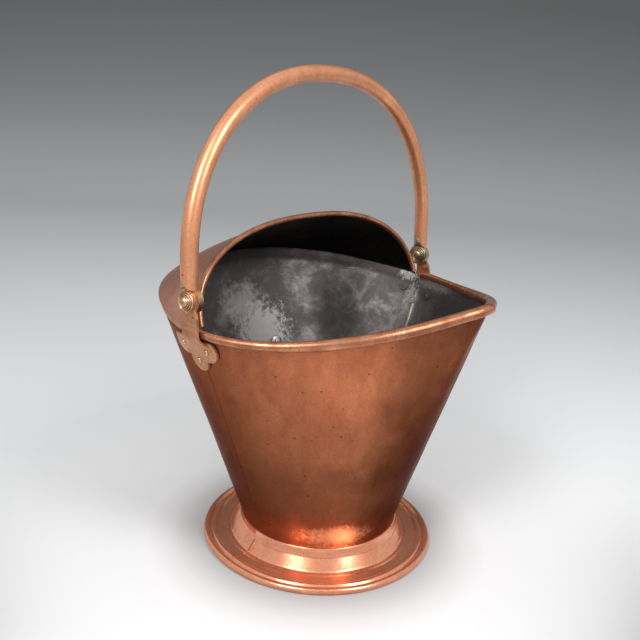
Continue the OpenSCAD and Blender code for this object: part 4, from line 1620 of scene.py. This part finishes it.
# ---------------------------------------------------------------- studio
@dataclass(frozen=True)
class Lamp:
    """A rectangular lamp that looks at the scuttle."""

    name: str
    bearing_deg: float                           # round from the camera, positive to its right
    height_deg: float                            # above the floor
    watts: float
    distance: float = 1.6                        # metres from what it looks at
    size: tuple[float, float] = (0.42, 0.8)      # width and height in metres
    aim_z: float = 0.18

    def build(self, azimuth: float) -> Piece:
        """Place the lamp.

        Args:
            azimuth: the camera's bearing in radians.

        Returns:
            The lamp object.
        """
        data = bpy.data.lights.new(self.name, "AREA")
        data.shape = "RECTANGLE"
        data.size, data.size_y = self.size
        data.energy = self.watts
        lamp = bpy.data.objects.new(self.name, data)
        bpy.context.scene.collection.objects.link(lamp)
        bearing, rise = azimuth + math.radians(self.bearing_deg), math.radians(self.height_deg)
        level = math.cos(rise)
        towards = Vector((math.sin(bearing) * level, -math.cos(bearing) * level, math.sin(rise)))
        turn = towards.to_track_quat("Z", "Y").to_matrix().to_4x4()
        spot = Vector((0.0, 0.0, self.aim_z)) + towards * self.distance
        lamp.matrix_world = Matrix.Translation(spot) @ turn
        return lamp


@dataclass
class Studio:
    """Camera, lamps, world and the pale sweep that the scuttle stands on."""

    azimuth: float = -0.9045440566
    elevation: float = 0.2914241832
    roll: float = 0.0581909330
    camera_at: Triple = (-0.6071, -0.4568, 0.4632)
    focal_px: float = 772.11
    centre_px: tuple[float, float] = (313.67, 324.08)
    frame_px: float = 640.0
    floor_end: float = 3.0           # metres ahead of the camera where the floor bends up
    bend_r: float = 1.2
    wall_top: float = 4.0
    half_w: float = 3.5
    columns: int = 141
    # painted shade: the paper's greys at shares of the photograph's height, set by readings of its
    # background; darker up the backdrop, lighter on the near floor
    painted_greys: tuple[tuple[float, float], ...] = (
        (0.0, 0.25), (0.1, 0.32), (0.19, 0.43), (0.28, 0.6), (0.375, 0.72), (0.47, 0.79),
        (0.5625, 0.82), (0.66, 0.87), (0.75, 0.89), (1.0, 0.84),
    )
    # painted shade: how much the sides of the frame darken, at the same shares
    painted_side_shade: tuple[tuple[float, float], ...] = (
        (0.6, 0.02), (0.75, 0.1), (0.85, 0.25), (1.0, 0.42),
    )
    # painted dark ring that imitates the soft shadow round the foot: metres from its middle
    painted_ring: tuple[tuple[float, float], ...] = (
        (0.118, 0.5), (0.137, 0.68), (0.16, 0.88), (0.185, 1.0),
    )
    sky_colour: Triple = (0.86, 0.88, 0.9)
    sky_light: tuple[float, float] = (0.08, 0.92)       # on matt things, from level to overhead
    wall_light: tuple[float, float] = (0.75, 0.9)       # what shiny things and the camera see
    lamps: tuple[Lamp, ...] = (
        Lamp("left_window", -26.0, 42.0, 15.0), Lamp("right_window", 46.0, 40.0, 14.0)
    )

    def directions(self) -> tuple[Vector, Vector, Vector]:
        """Return the camera's right, up and back directions.

        Returns:
            Three unit vectors.
        """
        az, el = self.azimuth, self.elevation
        back = Vector((math.sin(az) * math.cos(el), -math.cos(az) * math.cos(el), math.sin(el)))
        level = Vector((math.cos(az), math.sin(az), 0.0))
        upright = back.cross(level)
        right = math.cos(self.roll) * level + math.sin(self.roll) * upright
        up = -math.sin(self.roll) * level + math.cos(self.roll) * upright
        return right, up, back

    def build_camera(self) -> Piece:
        """Place the camera where the photograph was taken from.

        Returns:
            The camera.
        """
        data = bpy.data.cameras.new("camera")
        data.sensor_width = 36.0
        data.lens = self.focal_px / self.frame_px * data.sensor_width
        data.shift_x = (self.frame_px / 2 - self.centre_px[0]) / self.frame_px
        data.shift_y = (self.centre_px[1] - self.frame_px / 2) / self.frame_px
        data.clip_start = 0.01
        data.clip_end = 50.0
        camera = bpy.data.objects.new("camera", data)
        bpy.context.scene.collection.objects.link(camera)
        turn = Matrix(self.directions()).transposed().to_4x4()
        camera.matrix_world = Matrix.Translation(self.camera_at) @ turn
        bpy.context.scene.camera = camera
        return camera

    def build_sweep(self) -> Piece:
        """Build the floor that curves up into a backdrop.

        Each vertex stores its row (tone) and column (aside) in the photograph's frame, worked
        out from that camera's place. They stay with the floor when the view turns.

        Returns:
            The stage object.
        """
        ahead = np.array([-math.sin(self.azimuth), math.cos(self.azimuth)])
        level = np.array([math.cos(self.azimuth), math.sin(self.azimuth)])
        origin = np.array(self.camera_at[:2])
        bend, wall = self.bend_r, self.floor_end + self.bend_r
        profile = [(d, 0.0) for d in (-2.5, -1.0, 0.0, *np.geomspace(0.25, self.floor_end, 90))]
        for a in roll_angles(3, 90, 40):
            profile.append((self.floor_end + bend * math.sin(a), bend - bend * math.cos(a)))
        profile += [(wall, z) for z in np.linspace(bend + 0.1, self.wall_top, 10)]
        vertices, tones, asides = [], [], []
        steepest = 1.2
        for d, z in profile:
            high = z - self.camera_at[2]
            angle = self.elevation + math.atan2(high, max(d, 0.05))
            row = self.centre_px[1] - self.focal_px * math.tan(max(min(angle, steepest), -steepest))
            for side in np.linspace(-self.half_w, self.half_w, self.columns):
                spot = origin + ahead * d + level * side
                vertices.append((spot[0] / MM, spot[1] / MM, z / MM))
                tones.append(row / self.frame_px)
                across = self.focal_px * side / max(math.hypot(d, high), 0.1)
                asides.append(across / (self.frame_px / 2))
        faces = [tuple(q[::-1]) for q in grid_faces(len(profile), self.columns, False, False)]
        piece = make_piece("studio_sweep", np.array(vertices), faces, [self.paper()])
        for name, values in (("tone", tones), ("aside", asides)):
            attribute = piece.data.attributes.new(name, "FLOAT", "POINT")
            attribute.data.foreach_set("value", np.array(values, dtype=np.float32))
        return piece

    def paper(self) -> Material:
        """Build the matt paper of the sweep, painted with the photograph's background greys.

        The greys and the ring are fixed to the floor, so from other sides they lie unevenly.

        Returns:
            The finished material.
        """
        surface = Surface("matt_backdrop_paper")
        times, ramp = surface.times, surface.ramp
        tone, across = (
            surface.add("ShaderNodeAttribute", attribute_name=name).outputs["Fac"]
            for name in ("tone", "aside")
        )
        # painted shade: darker up the backdrop, lighter on the near floor, darker towards the sides
        grey = ramp(tone, *self.painted_greys)
        wide = surface.maths("MINIMUM", surface.maths("ABSOLUTE", across), 1.0)
        corner = surface.maths("POWER", wide, 4.0)
        near = ramp(tone, *self.painted_side_shade)
        fall = surface.maths("SUBTRACT", 1.0, times(corner, near))
        grey = surface.mixed(1.0, grey, fall, "MULTIPLY")
        away = surface.add("ShaderNodeVectorMath", {0: surface.place}, operation="LENGTH")
        ring = ramp(away.outputs["Value"], *self.painted_ring)
        return surface.finish({
            "Base Color": surface.mixed(1.0, grey, ring, "MULTIPLY"),
            "Roughness": 1.0, "Specular IOR Level": 0.0,
        })

    def build(self) -> list[Piece]:
        """Build the camera, the sweep, the lamps and the world.

        Returns:
            The new objects.
        """
        world = bpy.data.worlds.new("studio")
        bpy.context.scene.world = world
        world.use_nodes = True
        # matt surfaces are lit mostly from overhead; shiny ones and the camera see pale walls
        sky = Graph(world.node_tree)
        place = sky.add("ShaderNodeTexCoord").outputs["Generated"]
        height = sky.add("ShaderNodeSeparateXYZ", {"Vector": place}).outputs["Z"]
        falling = sky.mapped(height, 0.0, 1.0, *self.sky_light)
        walls = sky.mapped(height, 0.0, 1.0, *self.wall_light)
        path = sky.add("ShaderNodeLightPath").outputs
        seen = sky.maths("MAXIMUM", path["Is Camera Ray"], path["Is Glossy Ray"])
        seen = sky.maths("MAXIMUM", seen, path["Is Transmission Ray"])
        strength = sky.add("ShaderNodeMix", {0: seen, 2: falling, 3: walls}, data_type="FLOAT")
        background = world.node_tree.nodes["Background"]
        sky.feed(background, "Color", (*self.sky_colour, 1.0))
        sky.feed(background, "Strength", strength.outputs[0])
        bpy.context.scene.view_settings.view_transform = "Standard"
        lamps = [lamp.build(self.azimuth) for lamp in self.lamps]
        return [self.build_camera(), self.build_sweep(), *lamps]


def main() -> None:
    """Build every part of the scene in order and report its pieces."""
    logging.basicConfig(level=logging.INFO, format="%(name)s: %(message)s")
    Studio().build()
    finishes = Finishes.build()
    for part in (
        BodyShell(finishes), Hood(finishes), Foot(finishes), Bail(finishes), Fittings(finishes)
    ):
        for piece in part.build():
            LOG.info("%s: %s, %d faces", type(part).__name__, piece.name, len(piece.data.polygons))


if __name__ == "__main__":
    main()
